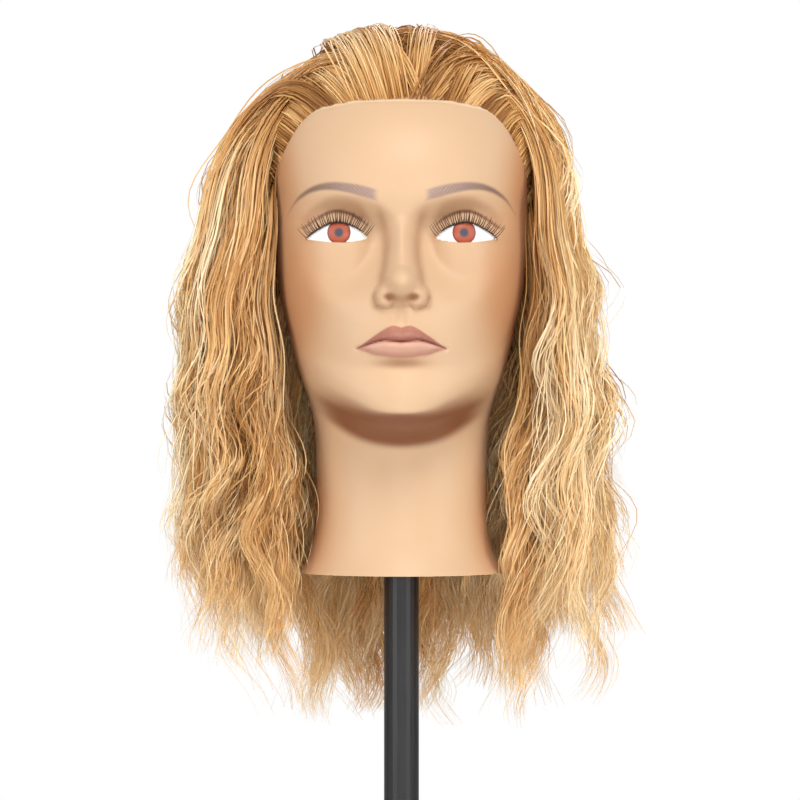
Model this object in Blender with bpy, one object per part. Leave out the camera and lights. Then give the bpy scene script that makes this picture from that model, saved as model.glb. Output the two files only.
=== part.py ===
"""Mannequin training head with rooted hair on a pole, held by a screw clamp for a table edge.

Frame: metres, +Z up. The origin is on the table top, under the clamp's upper jaw pad, on the pole's axis.
The face looks along -Y and the table comes into the clamp from +Y. Shapes are worked out in millimetres.
"""

import math

import bmesh
import bpy
import numpy as np
from mathutils import Matrix, Vector

MM = 0.001
GAP = 0.3  # between pieces that meet

# Heights on the pole's axis
HEAD_BASE = 265.0  # the neck's lower rim
TILT_HEIGHT = 46.0
SLEEVE_BOTTOM, SLEEVE_TOP = 62.0, 128.0
POLE_BOTTOM = 84.0
POLE_TOP = HEAD_BASE + 90.0

# Round sizes
POLE_RADIUS, POLE_WALL = 9.5, 1.5
SLEEVE_RADIUS = 15.0
SOCKET_RADIUS, SOCKET_BORE = 15.5, 12.5
BOLT_RADIUS, STUD_RADIUS = 4.0, 3.0
SCREW_RADIUS, BAR_RADIUS = 6.0, 3.2

# Clamp
CLAMP_WIDTH = 34.0
PAD_THICKNESS = 3.0
JAW_THICKNESS = 13.0
JAW_TOP = PAD_THICKNESS + GAP + JAW_THICKNESS
SPINE_FRONT, SPINE_BACK = -46.0, -32.0
UPPER_JAW_TIP, LOWER_JAW_TIP = 42.0, 22.0
LOWER_JAW_TOP, LOWER_JAW_BOTTOM = -84.0, -98.0
SCREW_Y = 4.0
PAD_FACE = -40.0  # the pressure pad's top face with a 40 mm table in the clamp
SCREW_HUB_TOP, SCREW_HUB_BOTTOM = -150.0, -166.0
BAR_LENGTH = 92.0

# The head: rings from the neck's rim to the crown. Each is (front y, front z, back y, back z).
RINGS = (
    (-52.0, 0.0, 58.0, 0.0),
    (-47.5, 12.0, 52.0, 13.0),
    (-45.0, 30.0, 49.0, 32.0),
    (-44.0, 50.0, 49.5, 56.0),
    (-45.0, 66.0, 53.0, 78.0),
    (-51.0, 76.0, 59.0, 96.0),
    (-64.0, 81.5, 67.0, 112.0),
    (-78.0, 85.5, 74.0, 125.0),
    (-86.5, 91.5, 79.0, 136.0),
    (-89.5, 99.0, 83.0, 146.0),
    (-87.5, 110.0, 87.0, 158.0),
    (-89.0, 124.0, 90.0, 170.0),
    (-90.0, 143.0, 92.0, 186.0),
    (-88.0, 165.0, 92.5, 202.0),
    (-86.0, 187.0, 91.0, 217.0),
    (-88.0, 203.0, 88.0, 229.0),
    (-86.5, 220.0, 83.0, 241.0),
    (-80.0, 237.0, 75.0, 252.0),
    (-67.5, 253.0, 62.0, 264.0),
    (-49.0, 268.0, 45.0, 274.5),
    (-26.0, 280.5, 24.0, 282.5),
    (0.0, 285.0, 0.0, 285.0),
)
# Half of the head's width against height, seen from the front
WIDTH_Z = (0, 6, 15, 30, 50, 70, 80, 88, 98, 109, 120, 134, 153, 175, 190, 205, 220, 235, 250, 262, 272, 280, 285)
WIDTH_X = (55.5, 52, 48.8, 46.6, 46.4, 47, 47.7, 49, 52, 55.5, 58.6, 62, 66, 68.5, 69.5, 70.5, 71, 69, 63.5, 55, 43.5, 28, 0)
NECK_RINGS = 3.0  # ring number below which the head is a plain neck
SHELL_WALL = 4.0

# Eyes: an oval cap of a large ball behind an almond opening in the skin
EYE_CENTRE = (27.6, -47.6, 181.8)
EYE_RADII = (27.5, 26.0, 17.0)
EYE_OVAL = (34.4, 181.4, 19.4, 7.6)  # the eye's outline from the front: centre x, z and radii
EYE_BACK = -59.5
LID = 1.2
ALMOND_X = (17.2, 22.0, 27.3, 32.5, 37.8, 43.0, 47.2, 51.2)
ALMOND_TOP = (179.3, 183.3, 186.0, 187.3, 186.8, 184.4, 181.9, 179.0)
ALMOND_BOTTOM = (179.1, 177.8, 177.1, 176.8, 177.1, 177.7, 178.2, 178.8)

# Hair: half widths and back reach of the mass against height over the neck's rim
HAIR_Z = (-78, -40, 0, 30, 60, 90, 120, 150, 180, 200, 214)
HAIR_OUTER_X = (92, 112, 118, 121, 124, 124, 120, 114, 108, 104, 100)
HAIR_OUTER_Y = (88, 100, 106, 110, 112, 114, 116, 116, 115, 113, 111)
HAIR_INNER_X = (62, 72, 78, 76, 72, 70, 72, 79, 82, 80, 75)
HAIR_INNER_Y = (62, 70, 74, 74, 76, 80, 88, 95, 97, 96, 95)
HAIR_FRONT_INNER = 92.0
HAIR_CENTRE_Y = 2.0
HAIR_SPLIT = 128.0  # degrees from the front, where the side hair meets the back hair
HAIR_FRONT_EDGE = 62.0
CROWN_ANGLES = (0, 30, 45, 58, 75, 110, 180)
CROWN_EDGE = (18.15, 17.9, 17.3, 16.2, 14.9, 14.1, 14.0)  # ring numbers of the hairline

SEGMENTS = 24


def spline(x, knots, values):
    """A smooth curve through the points (knots, values), read at x."""
    knots, values = np.asarray(knots, float), np.asarray(values, float)
    slopes = np.gradient(values, knots)
    x = np.clip(x, knots[0], knots[-1])
    i = np.clip(np.searchsorted(knots, x) - 1, 0, len(knots) - 2)
    h = knots[i + 1] - knots[i]
    t = (x - knots[i]) / h
    return (
        (2 * t**3 - 3 * t**2 + 1) * values[i]
        + (t**3 - 2 * t**2 + t) * h * slopes[i]
        + (3 * t**2 - 2 * t**3) * values[i + 1]
        + (t**3 - t**2) * h * slopes[i + 1]
    )


def step(x, low, high):
    """0 below low, 1 above high, and a smooth rise between."""
    t = np.clip((x - low) / (high - low), 0, 1)
    return t * t * (3 - 2 * t)


def bell(x, z, cx, cz, wx, wz):
    """A round bump of height 1 at (cx, cz)."""
    return np.exp(-(((x - cx) / wx) ** 2) - ((z - cz) / wz) ** 2)


def dome(x, z, cx, cz, rx, rz, height, sink=0.0):
    """The height of an ellipsoid's cap, which falls away below zero outside it."""
    d = ((x - cx) / rx) ** 2 + ((z - cz) / rz) ** 2
    return np.where(d < 1, height * np.sqrt(np.maximum(1 - d, 0)), -6 * (np.sqrt(d) - 1)) - sink


def smooth_max(a, b, k):
    """The larger of a and b, with the corner between them rounded over about k."""
    h = np.clip(0.5 + 0.5 * (a - b) / k, 0, 1)
    return b + (a - b) * h + k * h * (1 - h)


def base_surface(ring, angle):
    """The head without its features, at a ring number and an angle from the front towards +X."""
    table = np.array(RINGS)
    number = np.arange(len(RINGS))
    front_y, front_z, back_y, back_z = (spline(ring, number, table[:, k]) for k in range(4))
    centre = front_y + (back_y - front_y) * spline(ring, (0, 5, 9, 14, 18, 21), (0.5, 0.5, 0.53, 0.5, 0.52, 0.5))
    side_z = front_z + (back_z - front_z) * (centre - front_y) / np.maximum(back_y - front_y, 1e-6)
    width = np.where(ring > len(RINGS) - 1.001, 0, np.maximum(spline(side_z, WIDTH_Z, WIDTH_X), 0))
    fullness = spline(ring, (0, 4, 7, 9, 12, 16, 21), (2.0, 2.0, 1.95, 2.0, 2.12, 2.15, 2.0))
    power = 2 / np.where(np.cos(angle) > 0, fullness, 2.0)
    across, along = np.sin(angle), np.cos(angle)
    x = width * np.sign(across) * np.abs(across) ** power
    reach = np.where(along > 0, centre - front_y, back_y - centre)
    y = centre - reach * np.sign(along) * np.abs(along) ** power
    z = front_z + (back_z - front_z) * (y - front_y) / np.maximum(back_y - front_y, 1e-6)
    return x, y, z


def nose(ax, z):
    """How far the nose stands out from the face."""
    ridge = spline(z, (140, 144, 148, 153, 160, 170, 180, 188, 196), (-4, 2, 13, 18, 14.5, 9, 4, 0.6, -3))
    bridge = ridge - (ax / spline(z, (144, 153, 165, 180, 190), (5.0, 4.6, 3.6, 3.2, 4.0))) ** 2
    tip = dome(ax, z, 0, 153.5, 9.5, 9.0, 19.0)
    wing = dome(ax, z, 10.2, 149.0, 5.6, 6.4, 10.0)
    shape = smooth_max(smooth_max(bridge, tip, 4.0), wing, 3.0)
    shape = smooth_max(shape, 0, 2.2) - 0.55
    return np.maximum(shape, 0) - 3.2 * bell(ax, z, 5.6, 145.6, 2.6, 1.9)


def mouth_line(ax):
    return spline(ax, (0, 5, 9, 14, 19, 23.6), (124.6, 125.2, 125.9, 125.2, 122.9, 120.2))


def lips(ax, z):
    """How far the lips stand out, with the line between them."""
    line = mouth_line(ax)
    upper = spline(ax, (0, 4.5, 9, 14, 19, 23.6), (7.4, 8.2, 6.4, 4.4, 2.6, 0.8))
    lower = spline(ax, (0, 8, 14, 19, 23.6), (8.6, 8.3, 6.6, 4.0, 0.8))
    reach = spline(ax, (0, 8, 16, 21, 24.5), (5.2, 4.8, 3.2, 1.4, 0.0))
    t = np.where(z > line, (z - line) / upper, (line - z) / lower)
    full = np.sin(np.pi * np.clip(t * 0.62 + 0.34, 0, 1)) ** 1.2
    body = reach * np.where(t < 1.05, full, 0) * step(24.8 - ax, 0, 2)
    groove = 3.4 * np.exp(-(((z - line) / 1.3) ** 2)) * step(25.5 - ax, 0, 4)
    return body - groove


def eye_front(ax, z):
    """The depth (y) of the eye's surface, and how much a point belongs to the eye's socket."""
    cx, cy, cz = EYE_CENTRE
    rx, ry, rz = EYE_RADII
    inside = np.maximum(1 - ((ax - cx) / rx) ** 2 - ((z - cz) / rz) ** 2, 0.2)
    share = np.sqrt(((ax - 34.2) / 22.5) ** 2 + ((z - 182.6) / 11.5) ** 2)
    return cy - ry * np.sqrt(inside), 1 - step(share, 0.88, 1.45)


def head_surface(ring, angle):
    """The skin's outer surface in millimetres, with the face's features."""
    x, y, z = base_surface(ring, angle)
    ax = np.abs(x)
    facing = step(-y, 5, 30) * step(z, 72, 90)
    out = nose(ax, z) + lips(ax, z)
    out += 2.4 * bell(ax, z, 0, 128, 21, 17)
    out += 2.2 * bell(ax, z, 46, 163, 15, 13) - 2.0 * bell(ax, z, 47, 132, 11, 14)
    out += 1.8 * bell(ax, z, 25, 202, 17, 7) - 1.6 * bell(ax, z, 61, 200, 10, 16)
    out += 1.6 * bell(ax, z, 0, 96, 12, 9) - 1.4 * bell(ax, z, 0, 111.5, 14, 4)
    out -= 0.9 * bell(ax, z, 0, 137.5, 2.4, 5) - 0.5 * bell(ax, z, 4.6, 137, 1.8, 5)
    y = y - out * facing
    eye_y, socket = eye_front(ax, z)
    above = z - spline(ax, ALMOND_X, ALMOND_TOP)
    crease = 0.9 * np.exp(-(((above - 5.6) / 1.1) ** 2)) * (ax > 15) * (ax < 54)
    y = y + (eye_y - LID + crease - y) * socket * (y < -20)
    return x, y, z


def plain_surface(ring, angle):
    """The head without its small features, but with the hollows behind the eyes: the inner wall follows it."""
    x, y, z = base_surface(ring, angle)
    ax = np.abs(x)
    eye_y, socket = eye_front(ax, z)
    wide = np.sqrt(((ax - 34.2) / 27.0) ** 2 + ((z - 182.6) / 16.0) ** 2)
    hollow = (1 - step(wide, 0.9, 1.5)) * (y < -20)
    return x, y + (np.maximum(eye_y + 3.2, y) - y) * hollow, z


def clear_scene():
    for obj in list(bpy.data.objects):
        bpy.data.objects.remove(obj, do_unlink=True)


def material(name, colour, roughness, metallic=0.0):
    made = bpy.data.materials.get(name) or bpy.data.materials.new(name)
    made.use_nodes = True
    shader = made.node_tree.nodes["Principled BSDF"]
    shader.inputs["Base Color"].default_value = (*colour, 1)
    shader.inputs["Roughness"].default_value = roughness
    shader.inputs["Metallic"].default_value = metallic
    return made


def skin():
    return material("skin_vinyl", (0.80, 0.53, 0.34), 0.42)


def black_steel():
    return material("black_enamel", (0.02, 0.02, 0.022), 0.35, 0.3)


def bright_steel():
    return material("zinc_steel", (0.62, 0.62, 0.63), 0.3, 1.0)


def black_plastic():
    return material("black_plastic", (0.025, 0.025, 0.027), 0.5)


def grey_plastic():
    return material("socket_plastic", (0.75, 0.73, 0.68), 0.45)


def rubber():
    return material("rubber", (0.03, 0.03, 0.03), 0.85)


def hair_fibre():
    return material("hair", (0.62, 0.38, 0.16), 0.45)


def finish(bm, name, surface, smooth_angle=35.0):
    """Turns a bmesh in millimetres into an object in metres, with its normals pointing out."""
    bmesh.ops.remove_doubles(bm, verts=bm.verts, dist=1e-4)
    bmesh.ops.recalc_face_normals(bm, faces=bm.faces)
    bmesh.ops.scale(bm, vec=(MM, MM, MM), verts=bm.verts)
    mesh = bpy.data.meshes.new(name)
    bm.to_mesh(mesh)
    bm.free()
    mesh.shade_smooth()
    mesh.set_sharp_from_angle(angle=math.radians(smooth_angle))
    mesh.materials.append(surface)
    obj = bpy.data.objects.new(name, mesh)
    bpy.context.scene.collection.objects.link(obj)
    return obj


def turned(name, profile, surface, axis="Z", at=(0, 0, 0), segments=SEGMENTS):
    """A turned piece: profile is a closed outline of (radius, height) points, spun about the axis."""
    bm = bmesh.new()
    ring = [bm.verts.new((r, 0, h)) for r, h in profile]
    pairs = [(a, b) for a, b in zip(ring, ring[1:] + ring[:1]) if a.co.x > 0 or b.co.x > 0]
    edges = [bm.edges.new(pair) for pair in pairs]
    bmesh.ops.spin(
        bm, geom=ring + edges, cent=(0, 0, 0), axis=(0, 0, 1), angle=2 * math.pi, steps=segments, use_merge=True
    )
    middle = [v for v in bm.verts if math.hypot(v.co.x, v.co.y) < 1e-6]
    bmesh.ops.dissolve_verts(bm, verts=middle)
    if axis == "X":
        bmesh.ops.rotate(bm, verts=bm.verts, matrix=Matrix.Rotation(math.pi / 2, 3, "Y"))
    bmesh.ops.translate(bm, verts=bm.verts, vec=at)
    return finish(bm, name, surface)


def rod(name, radius, low, high, surface, axis="Z", at=(0, 0, 0), chamfer=0.6, segments=SEGMENTS):
    """A solid round bar with chamfered ends."""
    c = chamfer
    outline = ((0, low), (radius - c, low), (radius, low + c), (radius, high - c), (radius - c, high), (0, high))
    return turned(name, outline, surface, axis, at, segments)


def tube(name, outer, inner, low, high, surface, axis="Z", at=(0, 0, 0), segments=SEGMENTS):
    outline = ((inner, low), (outer, low), (outer, high), (inner, high))
    return turned(name, outline, surface, axis, at, segments)


def slab(name, outline, low, high, surface, along="X", bevel=0.0):
    """A flat outline, extruded from low to high along X (outline in Y, Z) or along Z (outline in X, Y)."""
    bm = bmesh.new()
    if along == "X":
        corners = [bm.verts.new((low, a, b)) for a, b in outline]
        shift = Vector((high - low, 0, 0))
    else:
        corners = [bm.verts.new((a, b, low)) for a, b in outline]
        shift = Vector((0, 0, high - low))
    face = bm.faces.new(corners)
    grown = bmesh.ops.extrude_face_region(bm, geom=[face])
    bmesh.ops.translate(bm, verts=[v for v in grown["geom"] if isinstance(v, bmesh.types.BMVert)], vec=shift)
    if bevel:
        bmesh.ops.recalc_face_normals(bm, faces=bm.faces)
        sharp = [e for e in bm.edges if e.calc_face_angle(0) > math.radians(50)]
        bmesh.ops.bevel(bm, geom=sharp, offset=bevel, segments=2, profile=0.5, affect="EDGES", material=-1)
    return finish(bm, name, surface)


def arc(cy, cz, radius, start, end, count):
    """Points on a circle, from angle start to end in degrees."""
    angles = np.radians(np.linspace(start, end, count))
    return [(cy + radius * math.cos(a), cz + radius * math.sin(a)) for a in angles]


def combine(obj, other, operation):
    """Cuts other from obj, or joins it, and hides other."""
    change = obj.modifiers.new(other.name, "BOOLEAN")
    change.operation = operation
    change.object = other
    other.hide_render = True
    other.display_type = "WIRE"
    return obj


def cut(obj, cutter):
    return combine(obj, cutter, "DIFFERENCE")


def join(obj, other):
    return combine(obj, other, "UNION")


def outward(ring, angle):
    """Unit normals of the plain head, pointing out."""
    ring = np.clip(ring, 0.01, len(RINGS) - 1.02)
    along, around = (
        np.stack(base_surface(ring + a, angle + b), axis=-1) - np.stack(base_surface(ring, angle), axis=-1)
        for a, b in ((0.01, 0), (0, 0.01))
    )
    normal = np.cross(around, along)
    return normal / np.maximum(np.linalg.norm(normal, axis=-1, keepdims=True), 1e-9)


def placed(function, ring, angle, lift=0.0):
    """A surface's points, each moved up to the head's place and outwards by lift."""
    points = np.stack(function(ring, angle), axis=-1)
    if lift:
        points = points + lift * outward(ring, angle)
        points[..., 2] = np.maximum(points[..., 2], 0)
    return points + (0, 0, HEAD_BASE)


def ball_grid(bm, columns, rows):
    """A unit ball, with each vertex's share of the way from the south pole and its angle from the front."""
    made = bmesh.ops.create_uvsphere(bm, u_segments=columns, v_segments=rows, radius=1)["verts"]
    points = np.array([v.co for v in made])
    share = 1 - np.arccos(np.clip(points[:, 2], -1, 1)) / math.pi
    angle = np.arctan2(points[:, 0], -points[:, 1])
    return made, share, angle


def set_points(verts, points):
    for vert, point in zip(verts, points):
        vert.co = point


def head_grid(bm, columns, rows, function, lift=0.0):
    """A closed ball of points laid over the head, closer together on the face."""
    verts, share, angle = ball_grid(bm, columns, rows)
    share = np.clip((share * rows - 1) / (rows - 1), 0, 1)
    ring = np.interp(share, (0, 0.1, 0.19, 0.25, 0.5, 0.72, 0.83, 1), (0, 4, 8, 9, 12, 15, 17, len(RINGS) - 1))
    set_points(verts, placed(function, ring, angle - 0.62 * np.sin(angle), lift))
    return verts


def head_shell():
    """The hollow skin: the outer face with its features, and a plain inner wall."""
    bm = bmesh.new()
    for columns, rows, function, lift in ((52, 56, head_surface, 0.0), (30, 20, plain_surface, -SHELL_WALL)):
        verts = head_grid(bm, columns, rows, function, lift)
        # Both poles join every column. The lower one is taken out, to open the neck.
        lower = min((v for v in verts if len(v.link_edges) == columns), key=lambda v: v.co.z)
        bmesh.ops.delete(bm, geom=[lower], context="VERTS")
    bmesh.ops.bridge_loops(bm, edges=[e for e in bm.edges if e.is_boundary])
    shell = finish(bm, "head_shell", skin(), 60)
    # The openings go first: cut last, they make the Boolean fail.
    for side in (-1, 1):
        cut(shell, almond(f"almond_cutter_{side}", side))
    for side in (-1, 1):
        cut(shell, eye_ball(f"eye_socket_cutter_{side}", side, GAP))
    return shell


def almond(name, side):
    """The opening between the lids, as a prism that looks along Y."""
    ax = np.linspace(ALMOND_X[0], ALMOND_X[-1], 15)
    top = spline(ax, ALMOND_X, ALMOND_TOP)[1:-1]
    bottom = spline(ax, ALMOND_X, ALMOND_BOTTOM)
    outline = list(zip(ax, bottom)) + list(zip(ax[-2:0:-1], top[::-1]))
    bm = bmesh.new()
    face = bm.faces.new([bm.verts.new((side * x, -100, z + HEAD_BASE)) for x, z in outline])
    grown = bmesh.ops.extrude_face_region(bm, geom=[face])
    bmesh.ops.translate(bm, verts=[v for v in grown["geom"] if isinstance(v, bmesh.types.BMVert)], vec=(0, 42, 0))
    return finish(bm, name, skin())


def eye_ball(name, side, grow):
    """The eye's front cap with a flat back, mirrored for the other side."""
    cx, cy, cz = EYE_CENTRE
    bm = bmesh.new()
    bmesh.ops.create_uvsphere(bm, u_segments=32, v_segments=16, radius=1)
    bmesh.ops.rotate(bm, verts=bm.verts, matrix=Matrix.Rotation(math.pi / 2, 3, "X"))
    bmesh.ops.scale(bm, vec=[r + grow for r in EYE_RADII], verts=bm.verts)
    bmesh.ops.translate(bm, verts=bm.verts, vec=(cx, cy, cz + HEAD_BASE))
    cut_plane(bm, (0, EYE_BACK + grow, 0), (0, 1, 0))
    x, z, wide, tall = EYE_OVAL
    for turn in np.radians(np.arange(0, 360, 20)):
        normal = np.array([math.cos(turn), 0, math.sin(turn)])
        reach = math.hypot((wide + grow) * normal[0], (tall + grow) * normal[2])
        cut_plane(bm, np.array([x, 0, z + HEAD_BASE]) + reach * normal, normal)
    if side < 0:
        bmesh.ops.scale(bm, vec=(-1, 1, 1), verts=bm.verts)
    return finish(bm, name, material("eye", (0.9, 0.9, 0.9), 0.1))


def cut_plane(bm, point, normal):
    """Takes away what is past a plane and closes the cut."""
    made = bmesh.ops.bisect_plane(
        bm, geom=bm.verts[:] + bm.edges[:] + bm.faces[:], plane_co=point, plane_no=normal, clear_outer=True
    )
    edges = [e for e in made["geom_cut"] if isinstance(e, bmesh.types.BMEdge)]
    bmesh.ops.contextual_create(bm, geom=edges)


def lashes(name, side):
    """A thin curved strip that stands out and up from the upper lid's edge."""
    bm = bmesh.new()
    bmesh.ops.create_grid(bm, x_segments=12, y_segments=1, size=1)
    ax = np.array([19.5 + (v.co.x + 1) / 2 * 29.0 for v in bm.verts])
    outer = np.array([v.co.y > 0 for v in bm.verts])
    root_z = spline(ax, ALMOND_X, ALMOND_TOP)
    depth, _ = eye_front(ax, root_z)
    reach = 3.0 * np.sin(np.pi * (ax - 17) / 36)
    y = depth - LID - 0.6 - np.where(outer, reach, 0)
    z = root_z + 0.2 + np.where(outer, reach * 0.7, 0)
    set_points(bm.verts, np.stack([side * ax, y, z + HEAD_BASE], axis=1))
    grown = bmesh.ops.extrude_face_region(bm, geom=bm.faces[:])
    bmesh.ops.translate(bm, verts=[v for v in grown["geom"] if isinstance(v, bmesh.types.BMVert)], vec=(0, -0.4, 0.4))
    return finish(bm, name, material("lashes", (0.03, 0.02, 0.02), 0.6))


def foam_core():
    """The rigid foam that fills the shell round the pole's socket."""
    bm = bmesh.new()
    head_grid(bm, 30, 20, plain_surface, -SHELL_WALL - 2.0)
    core = finish(bm, "foam_core", material("foam", (0.78, 0.66, 0.42), 0.9), 60)
    low, high = HEAD_BASE + 158, HEAD_BASE + 210
    cut(core, slab("eye_notch_cutter", ((-120, low), (-50, low), (-50, high), (-120, high)), -90, 90, skin()))
    cut(core, rod("socket_cutter", SOCKET_RADIUS + GAP, HEAD_BASE - 10, HEAD_BASE + 112 + GAP, grey_plastic()))
    return cut(core, rod("flange_cutter", 60, HEAD_BASE - 20, HEAD_BASE + 16, grey_plastic()))


def neck_plate():
    """The oval plate that closes the neck, a little above the skin's rim."""
    low, high = HEAD_BASE + 3, HEAD_BASE + 7
    outline = []
    for angle in np.linspace(0, 2 * math.pi, 48, endpoint=False):
        outline.append((46.3 * math.sin(angle), 2.2 + 45.5 * math.cos(angle)))
    plate = slab("neck_plate", outline, low, high, grey_plastic(), "Z")
    return cut(plate, rod("bush_cutter", 13.0 + GAP, low - 5, high + 5, grey_plastic()))


def neck_socket():
    """The blind tube that the pole goes into, on a round flange over the neck plate."""
    low, top = HEAD_BASE + 7 + GAP, HEAD_BASE + 112
    ceiling = HEAD_BASE + 108
    outline = (
        (SOCKET_BORE + 2, low),
        (32, low),
        (32, low + 3),
        (SOCKET_RADIUS + 2, low + 3),
        (SOCKET_RADIUS, low + 6),
        (SOCKET_RADIUS, top - 2),
        (SOCKET_RADIUS - 2, top),
        (0, top),
        (0, ceiling),
        (SOCKET_BORE, ceiling),
        (SOCKET_BORE, low + 4),
    )
    return turned("neck_socket", outline, grey_plastic())


def swivel_bush():
    """The flanged ring in the neck plate that the head turns on."""
    low = HEAD_BASE + 1
    outline = (
        (POLE_RADIUS + GAP, low),
        (16, low),
        (16, low + 2 - GAP),
        (13, low + 2 - GAP),
        (13, HEAD_BASE + 10),
        (POLE_RADIUS + GAP, HEAD_BASE + 10),
    )
    return turned("swivel_bush", outline, black_plastic())


def build_head():
    head_shell()
    foam_core()
    neck_plate()
    neck_socket()
    swivel_bush()
    for side, word in ((-1, "right"), (1, "left")):
        eye_ball(f"{word}_eye", side, 0.0)
        lashes(f"{word}_lashes", side)


def hair_point(angle, z, share):
    """A point of the hanging hair: share is 0 on the inner side of the mass and 1 on its outer side."""
    inner_x, outer_x = spline(z, HAIR_Z, HAIR_INNER_X), spline(z, HAIR_Z, HAIR_OUTER_X)
    inner_y, outer_y = spline(z, HAIR_Z, HAIR_INNER_Y), spline(z, HAIR_Z, HAIR_OUTER_Y)
    front = np.cos(angle) > 0
    x_reach = inner_x + (outer_x - inner_x) * share
    y_inner = np.where(front, HAIR_FRONT_INNER, inner_y)
    y_outer = np.where(front, HAIR_FRONT_INNER + 8, outer_y)
    y_reach = y_inner + (y_outer - y_inner) * share
    x = x_reach * np.sin(angle)
    y = HAIR_CENTRE_Y - y_reach * np.cos(angle)
    return np.stack([x, y, z + HEAD_BASE], axis=-1)


def thicken(bm, inner, outer):
    """Turns a sheet into a closed body between its inner and outer points."""
    verts = bm.verts[:]
    set_points(verts, inner)
    grown = bmesh.ops.extrude_face_region(bm, geom=bm.faces[:])
    for vert in grown["geom"]:
        if isinstance(vert, bmesh.types.BMVert):
            gaps = np.linalg.norm(inner - np.array(vert.co), axis=1)
            vert.co = outer[int(np.argmin(gaps))]


def hair_fall(name, start, end):
    """One hanging section of hair, between two angles from the front."""
    bm = bmesh.new()
    bmesh.ops.create_grid(bm, x_segments=8, y_segments=12, size=1)
    across, up = (np.array([(v.co[k] + 1) / 2 for v in bm.verts]) for k in (0, 1))
    angle = np.radians(start + (end - start) * across)
    z = HAIR_Z[0] + (HAIR_Z[-1] - HAIR_Z[0]) * up
    thicken(bm, hair_point(angle, z, 0.0), hair_point(angle, z, 1.0))
    return finish(bm, name, hair_fibre(), 60)


def hair_crown():
    """The swept-back hair over the top of the head, from the hairline to where the falls begin."""
    bm = bmesh.new()
    verts, share, angle = ball_grid(bm, 28, 14)
    upper = share > 0.49
    bmesh.ops.delete(bm, geom=[v for v, keep in zip(verts, upper) if not keep], context="VERTS")
    angle, up = angle[upper], share[upper] * 2 - 1
    front = np.cos(angle)
    edge = spline(np.degrees(np.abs(angle)), CROWN_ANGLES, CROWN_EDGE)
    ring = edge + (len(RINGS) - 1 - edge) * up
    inner = placed(base_surface, ring, angle, 3.5)
    away = placed(base_surface, ring, angle, 4.5) - inner
    lift = 9 + (17 * np.sin(angle) ** 2 + 4 * (1 - front)) * (1 - up) - 7 * step(front, 0.5, 1) * (1 - up) ** 2
    thicken(bm, inner, inner + away * lift[:, None])
    crown = finish(bm, "hair_crown", hair_fibre(), 60)
    low = HEAD_BASE + HAIR_Z[-1] + GAP
    square = ((-200, -200), (200, -200), (200, 200), (-200, 200))
    return cut(crown, slab("crown_floor_cutter", square, low - 120, low, rubber(), "Z"))


def build_hair():
    hair_crown()
    hair_fall("hair_left_side", HAIR_FRONT_EDGE, HAIR_SPLIT - 1)
    hair_fall("hair_back", HAIR_SPLIT, 360 - HAIR_SPLIT)
    hair_fall("hair_right_side", 360 - HAIR_SPLIT + 1, 360 - HAIR_FRONT_EDGE)


def build_pole():
    inner = POLE_RADIUS - POLE_WALL
    tube("pole", POLE_RADIUS, inner, POLE_BOTTOM, POLE_TOP, black_steel())
    plug = inner - GAP
    top = HEAD_BASE + 108 - GAP
    outline = (
        (0, POLE_TOP - 18),
        (plug - 1, POLE_TOP - 18),
        (plug, POLE_TOP - 17),
        (plug, POLE_TOP + GAP),
        (SOCKET_BORE - GAP, POLE_TOP + GAP),
        (SOCKET_BORE - GAP, top - 3),
        (SOCKET_BORE - GAP - 3, top),
        (0, top),
    )
    turned("pole_top_plug", outline, black_plastic())
    low = POLE_BOTTOM - 4
    outline = (
        (0, low),
        (POLE_RADIUS - 1, low),
        (POLE_RADIUS - 0.2, low + 1),
        (POLE_RADIUS - 0.2, POLE_BOTTOM - GAP),
        (plug, POLE_BOTTOM - GAP),
        (plug, POLE_BOTTOM + 12),
        (0, POLE_BOTTOM + 12),
    )
    turned("pole_foot_plug", outline, black_plastic())


def lobed_knob(name, radius, low, high, bore, at, lobes=5):
    """A star knob on an X axis, with rounded lobes and a bore for its stud."""
    points = 8 * lobes
    outline = []
    for k in range(points):
        angle = 2 * math.pi * k / points
        r = radius * (1 - 0.09 * (1 - math.cos(lobes * angle)))
        outline.append((at[1] + r * math.cos(angle), at[2] + r * math.sin(angle)))
    knob = slab(name, outline, low, high, black_plastic(), "X", bevel=1.4)
    return cut(knob, rod(name + "_bore", bore, low - 5, high - 3, black_plastic(), "X", at=(0, at[1], at[2])))


def hexagon(radius, cy, cz):
    return [(cy + radius * math.cos(a), cz + radius * math.sin(a)) for a in np.radians(np.arange(0, 360, 60))]


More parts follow.
